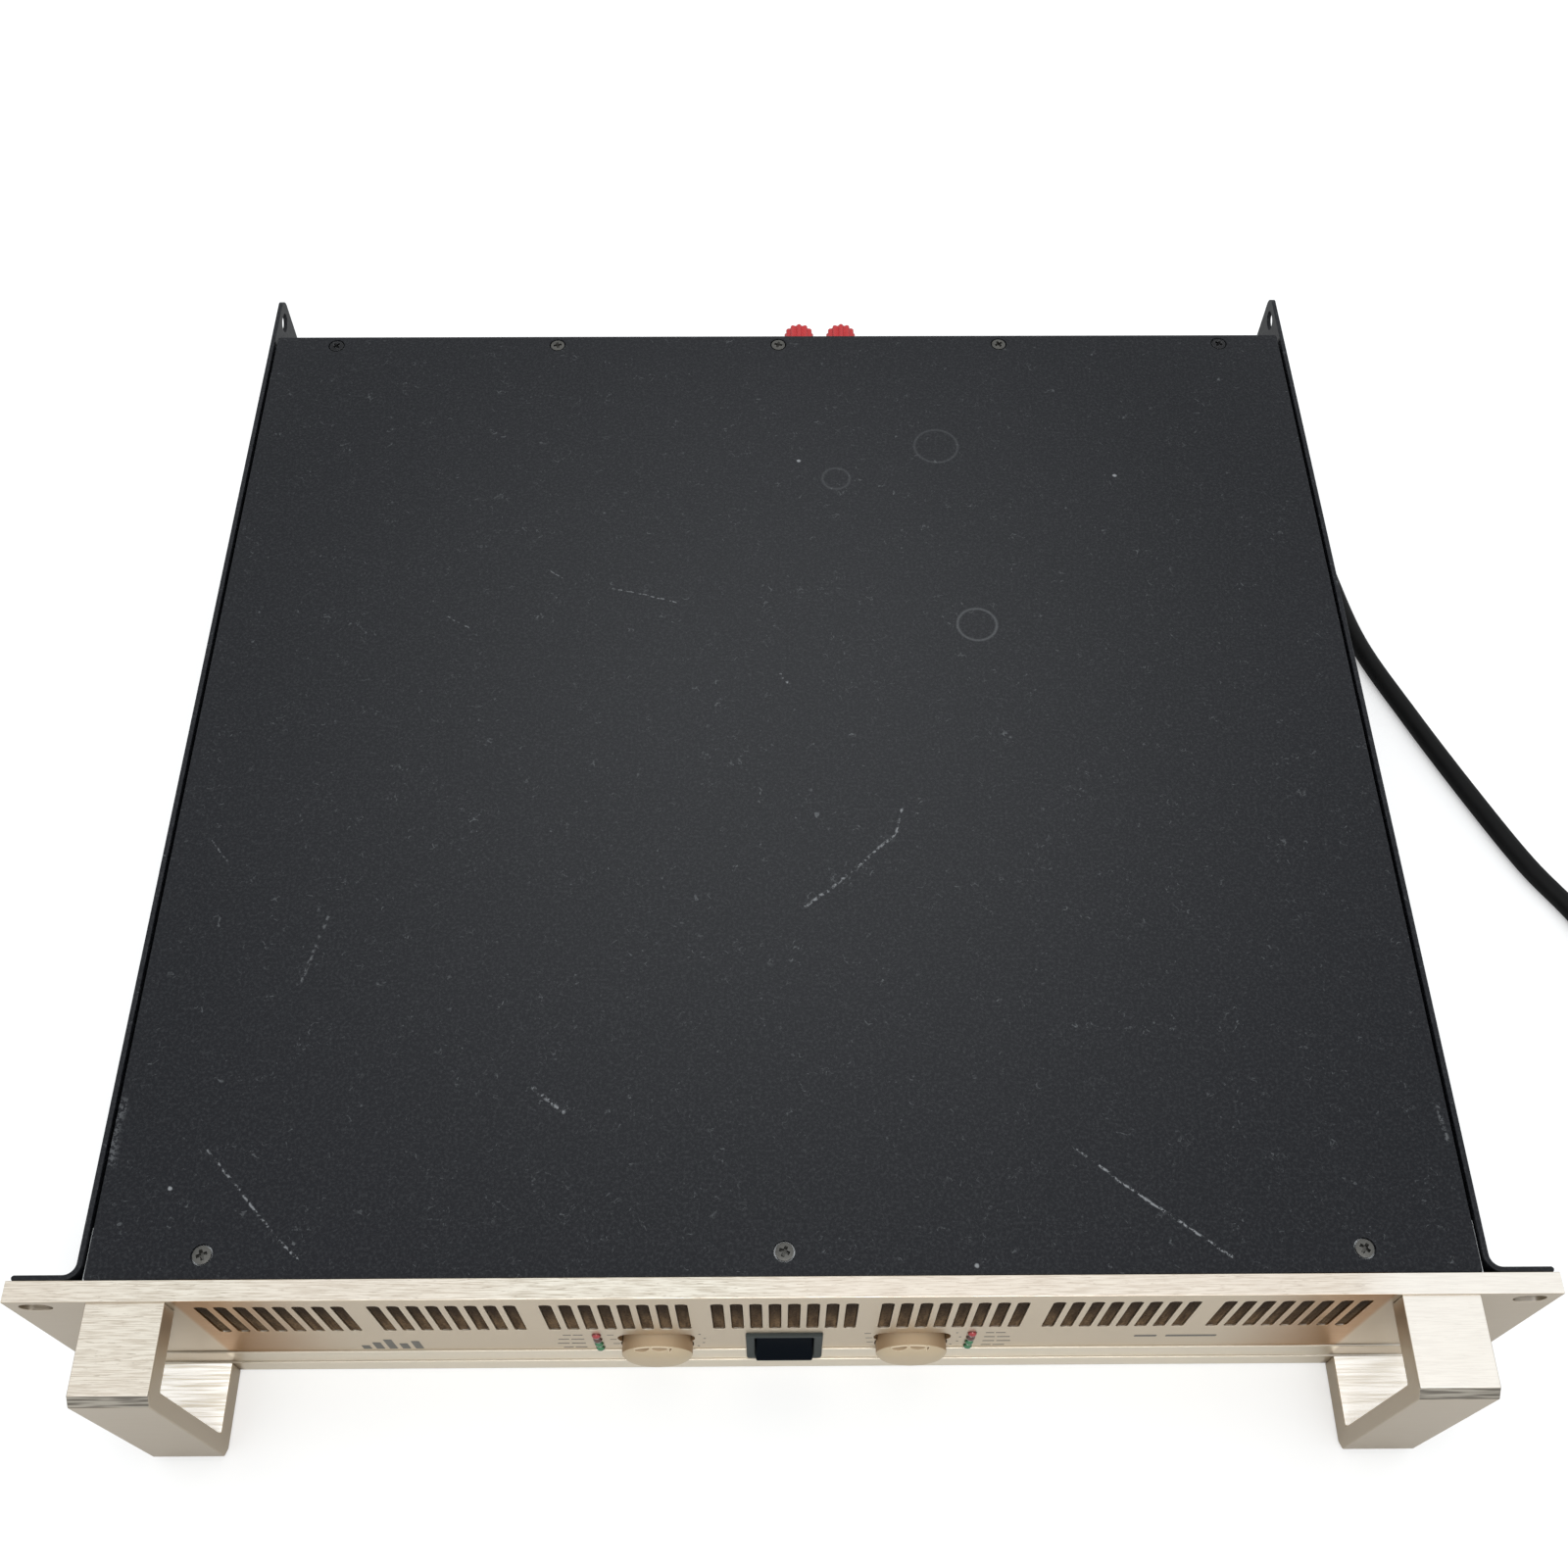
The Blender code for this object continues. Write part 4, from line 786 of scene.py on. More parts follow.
def front_panel(paint):
    """The extruded front with its ledges, air slots, rack slots and openings."""
    foot = PANEL_LOW.z
    between = FACE - LEDGE_STEP
    crisp = 0.0002
    profile = softened([
        (FACE, PANEL_HIGH.z, PANEL_EDGE),
        (FACE, below(UPPER_LEDGE), crisp), (between, below(UPPER_LEDGE), crisp),
        (between, below(LOWER_LEDGE), crisp), (PANEL_LOW.y, below(LOWER_LEDGE), crisp),
        (PANEL_LOW.y, foot, PANEL_EDGE), (PANEL_HIGH.y, foot, PANEL_EDGE),
        (PANEL_HIGH.y, PANEL_HIGH.z, PANEL_EDGE),
    ], crisp, 3)
    panel = plate("front_plate", [profile], PANEL_LOW.x, PANEL_HIGH.x, "YZ", 0.00015)
    rims = slot_outlines() + rack_slot_outlines()
    knobs = [middle("level_knob_left"), middle("level_knob_right")]
    lamps = [middle(name) for name in frame["nodes"] if name.startswith("signal_lamp")]
    holes = rims + [circle((k.x, k.z), KNOB_HOLE, 72) for k in knobs]
    holes += [circle((lamp.x, lamp.z), LAMP_RADIUS + 0.0002, 24) for lamp in lamps]
    low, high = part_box("switch_housing")
    seat = middle("switch_housing")
    size = (high.x - low.x, high.z - low.z)
    holes.append(rectangle((seat.x, seat.z), size[0] - 0.0020, size[1] - 0.0018, 0.0003, 1))
    through = through_panel("openings", holes)
    recess = rectangle((seat.x, seat.z), size[0] + 0.0004, size[1] + 0.0004, 0.0005, 2)
    recess = plate("bezel_recess", [recess], FACE - CLEAR, FACE + 0.0004, "XZ")
    clefts = [rectangle((knob.x, below(KNOB_CLEFT_DROP)), *KNOB_CLEFT, 0.0050, 8) for knob in knobs]
    clefts = through_panel("knob_clefts", clefts)
    panel = combine(panel, [through, flared("slot_rims", rims, SLOT_RIM), recess, clefts])
    return fit(panel, paint, ["front_panel"])


def handle(side, paint):
    """C-shaped extrusion with cut front corners and eased edges."""
    node = f"handle_{side}"
    low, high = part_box(node)
    cut = 0.0006
    profile = softened([
        (FACE, high.z, 0.0), (low.y + HANDLE_CHAMFER, high.z, cut),
        (low.y, high.z - HANDLE_CHAMFER, cut), (low.y, low.z + HANDLE_CHAMFER, cut),
        (low.y + HANDLE_CHAMFER, low.z, cut), (PANEL_LOW.y, low.z, 0.0),
        (PANEL_LOW.y, low.z + LOWER_ARM, 0.0), (low.y + GRIP, low.z + LOWER_ARM, 0.0008),
        (low.y + GRIP, high.z - UPPER_ARM, 0.0008), (FACE, high.z - UPPER_ARM, 0.0),
    ], cut, 3)
    piece = plate(f"handle_bar_{side}", [profile], low.x, high.x, "YZ", 0.0005, 2)
    return fit(piece, paint, [node])


def filter_pad(paint):
    """Foam strip behind the air slots, with an uneven front, pressed a little way into each slot."""
    low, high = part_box("air_filter")
    shape = bmesh.new()
    columns, rows = 220, 20
    bmesh.ops.create_grid(shape, x_segments=columns, y_segments=rows, size=0.5)
    for vert in shape.verts:
        x = low.x + (vert.co.x + 0.5) * (high.x - low.x)
        z = low.z + (vert.co.y + 0.5) * (high.z - low.z)
        rough = noise.noise(Vector((x * 300, z * 120, 0.0))) + noise.noise(Vector((x * 900, z * 700, 5.0)))
        vert.co = (x, low.y + 0.0006 + 0.0004 * rough, z)
    grown = bmesh.ops.extrude_face_region(shape, geom=shape.faces[:])
    for item in grown["geom"]:
        if isinstance(item, bmesh.types.BMVert):
            item.co.y = high.y
    bmesh.ops.recalc_face_normals(shape, faces=shape.faces)
    pad = solid("pad", shape)
    bulges = plate("bulges", slot_outlines(0.00012), FACE + FOAM_DEPTH, low.y + 0.002, "XZ", 0.0006, 3)
    piece = join("filter_foam_pad", [pad, bulges])
    return fit(piece, paint, ["air_filter"])


def crescent(centre, radius, start, stop, width):
    """Thin moon between a rim arc and a flatter arc inside it, split where the knob has bridges."""
    inner = []
    steps = 10
    for step in range(steps + 1):
        share = step / steps
        angle = math.radians(start + (stop - start) * share)
        reach = radius - width * math.sin(math.pi * (0.12 + 0.76 * share))
        inner.append((centre[0] + reach * math.cos(angle), centre[1] + reach * math.sin(angle)))
    return arc(centre, radius, start, stop, steps) + inner[::-1]


def level_knob(side, paint, shaft_paint):
    """Round knob with a domed face and a crescent finger groove."""
    node = f"level_knob_{side}"
    low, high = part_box(node)
    centre = (low + high) / 2
    radius = (high.x - low.x) / 2
    nose = FACE - low.y
    bore = 0.0034
    bulge = nose - KNOB_RIM
    shares = (0.0, 0.2, 0.4, 0.55, 0.7, 0.8, 0.87, 0.92, 0.955, 0.98)
    profile = [(radius * share, nose - bulge * (0.25 * share ** 2 + 0.75 * share ** 7)) for share in shares]
    profile += arc((radius - 0.0003, KNOB_RIM - 0.0001), 0.0003, 50, 0, 4)
    profile += [(radius, -KNOB_BACK + 0.0004), (radius - 0.0004, -KNOB_BACK), (bore, -KNOB_BACK)]
    profile += [(bore, -0.0010), (0.0, -0.0010)]
    knob = turned(f"knob_{side}", profile, (centre.x, FACE, centre.z), TO_FRONT, 96)
    gaps = ((62, 66), (69, 96), (100, 128))
    moons = [crescent((centre.x, centre.z), radius - 0.0003, a, b, 0.0011) for a, b in gaps]
    groove = plate(f"groove_{side}", moons, low.y - 0.002, FACE - KNOB_RIM + KNOB_GROOVE, "XZ")
    knob = combine(knob, [groove])
    fit(knob, paint, [node], f"{side}_level")
    shaft_low, shaft_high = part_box(f"level_shaft_{side}")
    half = (shaft_high.x - shaft_low.x) / 2
    length = shaft_high.y - shaft_low.y
    outline = [(0, 0), (half - 0.0003, 0), (half, -0.0003), (half, -length), (0, -length)]
    shaft = turned(f"knob_shaft_{side}", outline, (centre.x, shaft_low.y, centre.z), TO_FRONT, 32)
    fit(shaft, shaft_paint, [f"level_shaft_{side}"], f"{side}_level")


def power_switch(bezel_paint, rocker_paint):
    low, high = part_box("switch_housing")
    centre = middle("switch_housing")
    here = (centre.x, centre.z)
    opening = (0.0200, 0.0268)
    rim = [rectangle(here, high.x - low.x, high.z - low.z, 0.0009), rectangle(here, *opening, 0.0010)]
    lip = plate("switch_bezel", rim, low.y, FACE + 0.0003, "XZ", 0.0003)
    box = rectangle(here, 0.0218, 0.0286, 0.0008)
    walls = [box, rectangle(here, *opening, 0.0008)]
    walls = plate("switch_walls", walls, FACE, high.y - 0.0010, "XZ", 0.0001, 1)
    back = plate("switch_back", [box], FACE + 0.0190, high.y, "XZ", 0.0003)
    housing = join("switch_frame", [lip, walls, back])
    fit(housing, bezel_paint, ["switch_housing"])
    rocker(here, rocker_paint)


def rocker(here, paint):
    """Hollow-faced rocker with generously rounded sides, at its resting tilt."""
    half = ROCKER_HALF
    front = -0.0019 - ROCKER_PIVOT
    hollow = 0.0016
    bow = (half * half + hollow * hollow) / (2 * hollow)
    sweep = math.degrees(math.asin(half / bow))
    saddle = arc((front + hollow - bow, 0.0), bow, sweep, -sweep, 24)
    crest = [(*saddle[0], 0.0009)] + saddle[3:-3] + [(*saddle[-1], 0.0009)]
    profile = softened(
        crest + [(0.0, -0.0098, 0.0008), (0.0060, -0.0050), (0.0060, 0.0050), (0.0, 0.0098, 0.0008)], 0.0, 5
    )
    width = ROCKER_WIDTH / 2
    piece = plate("rocker_button", [profile], -width, width, "YZ", 0.0007, 4)
    turn = Matrix.Rotation(-ROCKER_TILT, 4, "X")
    piece.data.transform(Matrix.Translation((here[0], FACE + ROCKER_PIVOT, here[1])) @ turn)
    fit(piece, paint, ["switch_rocker"], "power_rocker")


def lamps(paints):
    for node in sorted(name for name in frame["nodes"] if name.startswith("signal_lamp")):
        centre = middle(node)
        radius = LAMP_RADIUS
        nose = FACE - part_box(node)[0].y + 0.0004
        profile = [(radius * math.sin(math.radians(a)), nose - 0.0012 * (1 - math.cos(math.radians(a))))
                   for a in range(0, 91, 15)]
        profile += [(radius, -0.0071), (0.0023, -0.0071), (0.0023, -0.0195), (0, -0.0195)]
        slot = "lamp_red" if node[-1] in "12" else "lamp_green"
        name = node.replace("signal_lamp", "lamp_lens")
        piece = turned(name, profile, (centre.x, FACE, centre.z), TO_FRONT, 24)
        fit(piece, paints["lamp_off" if node[-1] == "2" else slot], [node])


def panel_print(paint):
    """Generic printed marks: dial ticks, legend bars beside the lamps and a bar-meter mark."""
    loops = []
    for knob in (middle("level_knob_left"), middle("level_knob_right")):
        for index, rise in enumerate((0.0125, 0.0065, 0.0006)):
            centre = (knob.x - 0.0150 + index * 0.0006, knob.z + rise)
            loops.append(rectangle(centre, 0.0022, 0.0006, 0.0001, 1))
        for across, rise in ((0.0146, 0.0128), (0.0161, 0.0070), (0.0156, 0.0012), (0.0137, -0.0033)):
            loops.append(circle((knob.x + across, knob.z + rise), 0.00045, 10))
    for side in (-1, 1):
        for row, length in enumerate((0.0066, 0.0086, 0.0094, 0.0080)):
            z = below(0.0455 + row * 0.0056)
            left = 0.0668 if side > 0 else -0.0668 - length
            for start, stop in ((0.0, 0.42), (0.50, 1.0)):
                centre = (left + length * (start + stop) / 2, z)
                loops.append(rectangle(centre, length * (stop - start), 0.0009, 0.0002, 2))
    for index, height in enumerate((0.0050, 0.0090, 0.0130, 0.0075, 0.0105)):
        x = -0.1412 + index * 0.0044
        loops.append(rectangle((x, below(0.0630) + height / 2), 0.0028, height, 0.0003, 2))
    for left, length in ((0.1170, 0.0075), (0.1275, 0.0170)):
        loops.append(rectangle((left + length / 2, below(0.0510)), length, 0.0022, 0.0004, 2))
    print_piece = plate("panel_print", loops, FACE - 0.00004, FACE + 0.0001, "XZ")
    fit(print_piece, paint)


# Sheet metal and screws -------------------------------------------------------------------


def cover_screws():
    return sorted(name for name in frame["nodes"] if name.startswith("cover_screw"))


def lid(paint):
    low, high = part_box("top_cover")
    sheet = rectangle(((low.x + high.x) / 2, (low.y + high.y) / 2), high.x - low.x, high.y - low.y, 0.0008)
    holes = [circle((middle(name).x, middle(name).y), SCREW_HEAD + 0.0005, 40) for name in cover_screws()]
    piece = plate("lid_sheet", [sheet] + holes, low.z, high.z, "XY", 0.00035, 2)
    fit(piece, paint, ["top_cover"])


def side_sheet(side, sign, paint):
    """Side panel with its rack flange bent outward at the front and two ears at the back."""
    node = f"side_panel_{side}"
    low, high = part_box(node)
    front = low.y
    outer = SIDE_OUTER
    inner = outer - SIDE_SHEET
    reach = max(abs(low.x), abs(high.x))
    bend = (outer + BEND, front + SIDE_SHEET + BEND)
    section = [(inner, high.y + CLEAR), (inner, bend[1])]
    section += arc(bend, BEND + SIDE_SHEET, 180, 270, 12)[1:]
    section += arc((reach - SIDE_SHEET / 2, front + SIDE_SHEET / 2), SIDE_SHEET / 2, -90, 90, 6)
    section += arc(bend, BEND, 270, 180, 12)
    section += [(outer, high.y + CLEAR)]
    section = [(sign * x, y) for x, y in section]
    sheet = plate(f"side_sheet_{side}", [section], low.z, high.z, "XY", 0.0003)
    upper = high.z - EAR_HEIGHT
    lower = low.z + EAR_HEIGHT
    silhouette = softened([
        (front - CLEAR, high.z + CLEAR, 0.0), (high.y, high.z + CLEAR, 0.0), (high.y, upper, 0.002),
        (BACK, upper, 0.0), (BACK, lower, 0.0), (high.y, lower, 0.002),
        (high.y, low.z - CLEAR, 0.0), (front - CLEAR, low.z - CLEAR, 0.0),
    ], 0.0, 6)
    corners = softened([
        (front - CLEAR, high.z, 0.0), (high.y, high.z, 0.0055),
        (high.y, low.z, 0.0055), (front - CLEAR, low.z, 0.0),
    ], 0.0, 10)
    slots = [oval((EAR_SLOT_Y, z), *EAR_SLOT) for z in (high.z - EAR_SLOT_INSET, low.z + EAR_SLOT_INSET)]
    keep = plate(f"silhouette_{side}", [silhouette] + slots, sign * 0.19, sign * 0.27, "YZ")
    rounded = plate(f"corners_{side}", [corners], sign * 0.18, sign * 0.28, "YZ")
    sheet = combine(sheet, [keep, rounded], "INTERSECT")
    bolts = plate(f"bolt_slots_{side}", rack_slot_outlines((sign,)), front - CLEAR, front + CLEAR, "XZ")
    sheet = combine(sheet, [bolts])
    fit(sheet, paint, [node])


def cross_recess(name, centre, angle, reach, depth):
    """Two tapered bars that cut a cross, wide at the head's face and narrow at the bottom."""
    bars = []
    for quarter in (0.0, math.pi / 2):
        shape = bmesh.new()
        size = Matrix.Diagonal((2 * reach, 0.0015, 2 * depth, 1.0))
        bmesh.ops.create_cube(shape, size=1.0, matrix=size)
        for vert in shape.verts:
            if vert.co.z < 0:
                vert.co.x *= 0.45
                vert.co.y *= 0.60
        place = Matrix.Translation(centre) @ Matrix.Rotation(angle + quarter, 4, "Z")
        bars.append(solid(f"{name}_{len(bars)}", shape, place))
    return bars


def screws(worn_paint, black_paint):
    """Countersunk cross-head screws, each at its own angle; the outermost rear two are black."""
    angles = (20, 68, 52, 40, 12, 75, 30, 58)
    for node, angle in zip(cover_screws(), angles):
        low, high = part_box(node)
        centre = middle(node)
        head = SCREW_HEAD
        tip = low.z - high.z
        profile = [
            (0, 0.00012), (head * 0.5, 0.00008), (head * 0.85, -0.00002), (head, -0.00015),
            (head, -0.0004), (0.0015, -0.0016), (0.0015, tip + 0.0003), (0.0012, tip), (0, tip),
        ]
        top = (centre.x, centre.y, high.z)
        screw = turned(node.replace("cover_screw", "lid_screw"), profile, top, UPRIGHT, 40)
        recess = cross_recess(node + "_cross", top, math.radians(angle), head * 0.85, 0.0014)
        screw = combine(screw, recess)
        outermost = node in ("cover_screw_rear_1", "cover_screw_rear_5")
        fit(screw, black_paint if outermost else worn_paint, [node])


# Pieces of the back -----------------------------------------------------------------------


def fan_slots():
    hub = middle("fan_frame")
    loops = []
    pitch = 0.0062
    for index in range(-5, 6):
        x = index * pitch
        reach = math.sqrt(0.036 ** 2 - x * x)
        for sign in (-1, 1):
            centre = (hub.x + x, 0.0428 + sign * (reach / 2 + 0.001))
            loops.append(rectangle(centre, 0.0040, reach - 0.002, 0.0016, 5))
    return loops


def rear_sheet(paint):
    low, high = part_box("rear_panel")
    outline = rectangle(((low.x + high.x) / 2, (low.z + high.z) / 2), high.x - low.x, high.z - low.z, 0.0006)
    terminals = middle("terminal_block")
    holes = fan_slots() + [rectangle((terminals.x, terminals.z), 0.0356, 0.0356, 0.0006)]
    for number in "12":
        socket = middle(f"input_socket_{number}")
        holes.append(circle((socket.x, socket.z), 0.0121, 40))
    gland = middle("cable_gland")
    holes.append(circle((gland.x, gland.z), 0.0073, 40))
    sheet = plate("rear_sheet", [outline] + holes, high.y - 0.0015, high.y, "XZ", 0.00025)
    flange = block("rear_flange", (low.x, low.y, high.z - 0.0015), (high.x, high.y - 0.0012, high.z), 0.0002)
    fit(join("rear_plate", [sheet, flange]), paint, ["rear_panel"])


def terminals(base_paint, metal_paint, cap_paints):
    """Insulating block, threaded studs, and a fluted cap with a metal insert on each."""
    low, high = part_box("terminal_block")
    centre = middle("terminal_block")
    flange = plate(
        "terminal_flange", [rectangle((centre.x, centre.z), high.x - low.x, high.z - low.z, 0.003, 6)],
        BACK, BACK + 0.0040, "XZ", 0.0006,
    )
    body = rectangle((centre.x, centre.z), 0.0350, 0.0350, 0.001)
    body = plate("terminal_body", [body], low.y, BACK + 0.001, "XZ", 0.0003)
    parts = [flange, body]
    studs = []
    for row in "12":
        for column in "12":
            cap_low, cap_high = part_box(f"terminal_cap_{row}_{column}")
            post = (cap_low + cap_high) / 2
            seat = (post.x, BACK, post.z)
            collar = [(0, 0.0066), (0.0050, 0.0066), (0.0056, 0.0061), (0.0056, 0.0030), (0, 0.0030)]
            parts.append(turned(f"collar_{row}_{column}", collar, seat, TO_BACK, 32))
            studs.append(stud(f"stud_{row}_{column}", seat, high.y - BACK))
            terminal_cap(row, column, cap_paints[row])
    fit(join("terminal_base", parts), base_paint, ["terminal_block"])
    fit(join("terminal_studs", studs), metal_paint)


def stud(name, seat, reach):
    """Threaded post with a socket in its end."""
    pitch = 0.0008
    profile = [(0.0, reach - 0.0100), (0.0019, reach - 0.0100), (0.0019, reach - 0.0003), (0.0022, reach)]
    top = reach
    profile.append((0.0027, top))
    while top > 0.0075:
        profile += [(POST_RADIUS, top - pitch * 0.35), (POST_RADIUS - 0.0003, top - pitch * 0.8)]
        top -= pitch
    profile += [(POST_RADIUS, 0.0070), (POST_RADIUS, 0.0050), (0.0, 0.0050)]
    return turned(name, profile, seat, TO_BACK, 32)


def terminal_cap(row, column, paint):
    node = f"terminal_cap_{row}_{column}"
    low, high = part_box(node)
    centre = (low + high) / 2
    radius = (high.x - low.x) / 2
    outline = []
    steps = 144
    for step in range(steps):
        turn = math.tau * step / steps
        wave = math.cos(turn * CAP_FLUTES)
        reach = radius - 0.00045 * (1 - wave) ** 1.5 / 1.4
        outline.append((centre.x + reach * math.cos(turn), centre.z + reach * math.sin(turn)))
    hole = circle((centre.x, centre.z), POST_RADIUS + 0.0003, 32)
    cap = plate(f"screw_cap_{row}_{column}", [outline, hole], low.y, high.y, "XZ", 0.0006, 3)
    body = ("upper", "lower")[row == "2"] + f"_cap_{column}"
    fit(cap, paint, [node], body)


def signal_inputs(shell_paint, metal_paint):
    """Chassis sockets: rounded flange, barrel with three contacts, two screws and a latch."""
    for number in "12":
        node = f"input_socket_{number}"
        low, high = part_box(node)
        centre = middle(node)
        here = (centre.x, centre.z)
        flange = [rectangle(here, high.x - low.x, high.z - low.z, 0.0030, 6), circle(here, 0.0105)]
        flange = plate(f"socket_flange_{number}", flange, BACK, BACK + 0.0020, "XZ", 0.0004)
        barrel = [
            (0, 0.0012), (0.0070, 0.0012), (0.0072, 0.0010), (0.0072, -0.0080), (0.0097, -0.0080),
            (0.0097, 0.0010), (0.0101, 0.0016), (0.0114, 0.0016), (0.0118, 0.0012), (0.0118, -0.0200),
            (0, -0.0200),
        ]
        shell = turned(f"socket_barrel_{number}", barrel, (centre.x, BACK, centre.z), TO_BACK, 64)
        shell = combine(shell, [flange], "UNION")
        pins = []
        sleeves = []
        for index in range(3):
            angle = math.radians(90 + 120 * index)
            pin = (centre.x + 0.0040 * math.cos(angle), centre.z - 0.0040 * math.sin(angle))
            pins.append(circle(pin, 0.0014, 24))
            ring = [circle(pin, 0.0013, 24), circle(pin, 0.0009, 24)]
            contact = plate(f"contact_{number}_{index}", ring, BACK - 0.0055, BACK + 0.0004, "XZ", 0.0001)
            sleeves.append(contact)
        holes = plate(f"pin_holes_{number}", pins, BACK - 0.006, BACK + 0.01, "XZ")
        latch_low, latch_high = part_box(f"input_latch_{number}")
        notch = block(
            f"latch_notch_{number}", latch_low - Vector((0.0004, 0.0005, 0.0012)),
            latch_high + Vector((0.0004, 0.01, 0.0004)), 0.0,
        )
        shell = combine(shell, [holes, notch])
        fit(shell, shell_paint, [node])
        heads = []
        for sign in (-1, 1):
            seat = (centre.x + sign * 0.0100, BACK + 0.0020, centre.z + sign * 0.0125)
            heads.append(pan_head(f"socket_screw_{number}_{sign}", seat, TO_BACK, 0.0021, 35))
        fit(join(f"socket_metal_{number}", sleeves + heads), metal_paint)
        tab = block(f"latch_tab_{number}", latch_low, latch_high, 0.0006)
        fit(tab, metal_paint, [f"input_latch_{number}"], f"latch_{number}")


def pan_head(name, seat, turn, radius, angle):
    """Small domed screw head with a cross recess."""
    quarter = [math.radians(a) for a in range(0, 91, 15)]
    profile = [(radius * math.sin(a), 0.0011 * math.cos(a)) for a in quarter]
    profile += [(radius, -0.0008), (0, -0.0008)]
    head = turned(name, profile, (0, 0, 0), UPRIGHT, 32)
    cross = cross_recess(name + "_cross", (0, 0, 0.0012), math.radians(angle), radius * 0.6, 0.0009)
    head = combine(head, cross)
    head.data.transform(Matrix.Translation(seat) @ turn)
    return head


def fan_wheel(paint):
    """Seven swept blades on a cupped hub."""
    low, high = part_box("fan_rotor")
    hub_centre = middle("fan_rotor")
    front = low.y
    back = high.y
    cup = [(0, 0), (0.0130, 0), (0.0150, -0.0006), (0.0155, -0.0018), (0.0155, -0.0160), (0.0020, -0.0160)]
    cup += [(0.0020, front - back), (0.0, front - back)]
    parts = [turned("fan_hub", cup, (hub_centre.x, front, hub_centre.z), TO_FRONT, 48)]
    for index in range(7):
        shape = bmesh.new()
        rows = []
        for step in range(9):
            share = step / 8
            radius = 0.0152 + share * 0.0210
            lead = math.tau * index / 7 + share * 0.22
            pitch = math.radians(52 - 20 * share)
            chord = 0.0125 + 0.0035 * share
            row = []
            for t, camber in ((-0.5, 0.0), (-0.25, 0.0010), (0.0, 0.0014), (0.25, 0.0010), (0.5, 0.0)):
                turn = lead + t * chord * math.cos(pitch) / radius
                depth = -0.0080 + t * chord * math.sin(pitch) + camber
                row.append(shape.verts.new((radius * math.cos(turn), radius * math.sin(turn), depth)))
            rows.append(row)
        for first, second in zip(rows, rows[1:]):
            for a in range(4):
                shape.faces.new((first[a], first[a + 1], second[a + 1], second[a]))
        place = Matrix.Translation((hub_centre.x, front, hub_centre.z)) @ TO_FRONT
        blade = solid(f"fan_blade_{index}", shape, place)
        thick = blade.modifiers.new("thickness", "SOLIDIFY")
        thick.thickness = 0.0010
        thick.offset = 0.0
        parts.append(bake(blade))
    wheel = combine(parts[0], parts[1:], "UNION")
    fit(wheel, paint, ["fan_rotor"], "rotor")


# Mains lead -------------------------------------------------------------------------------


def smooth_path(stations, steps):
    """Points on a Catmull-Rom curve through the stations."""
    padded = [stations[0]] + stations + [stations[-1]]
    points = []
    for index in range(1, len(padded) - 2):
        p0, p1, p2, p3 = (Vector(p) for p in padded[index - 1:index + 3])
        for step in range(steps):
            t = step / steps
            points.append(0.5 * (2 * p1 + (p2 - p0) * t + (2 * p0 - 5 * p1 + 4 * p2 - p3) * t ** 2
                                 + (3 * p1 - p0 - 3 * p2 + p3) * t ** 3))
    return points + [Vector(stations[-1])]


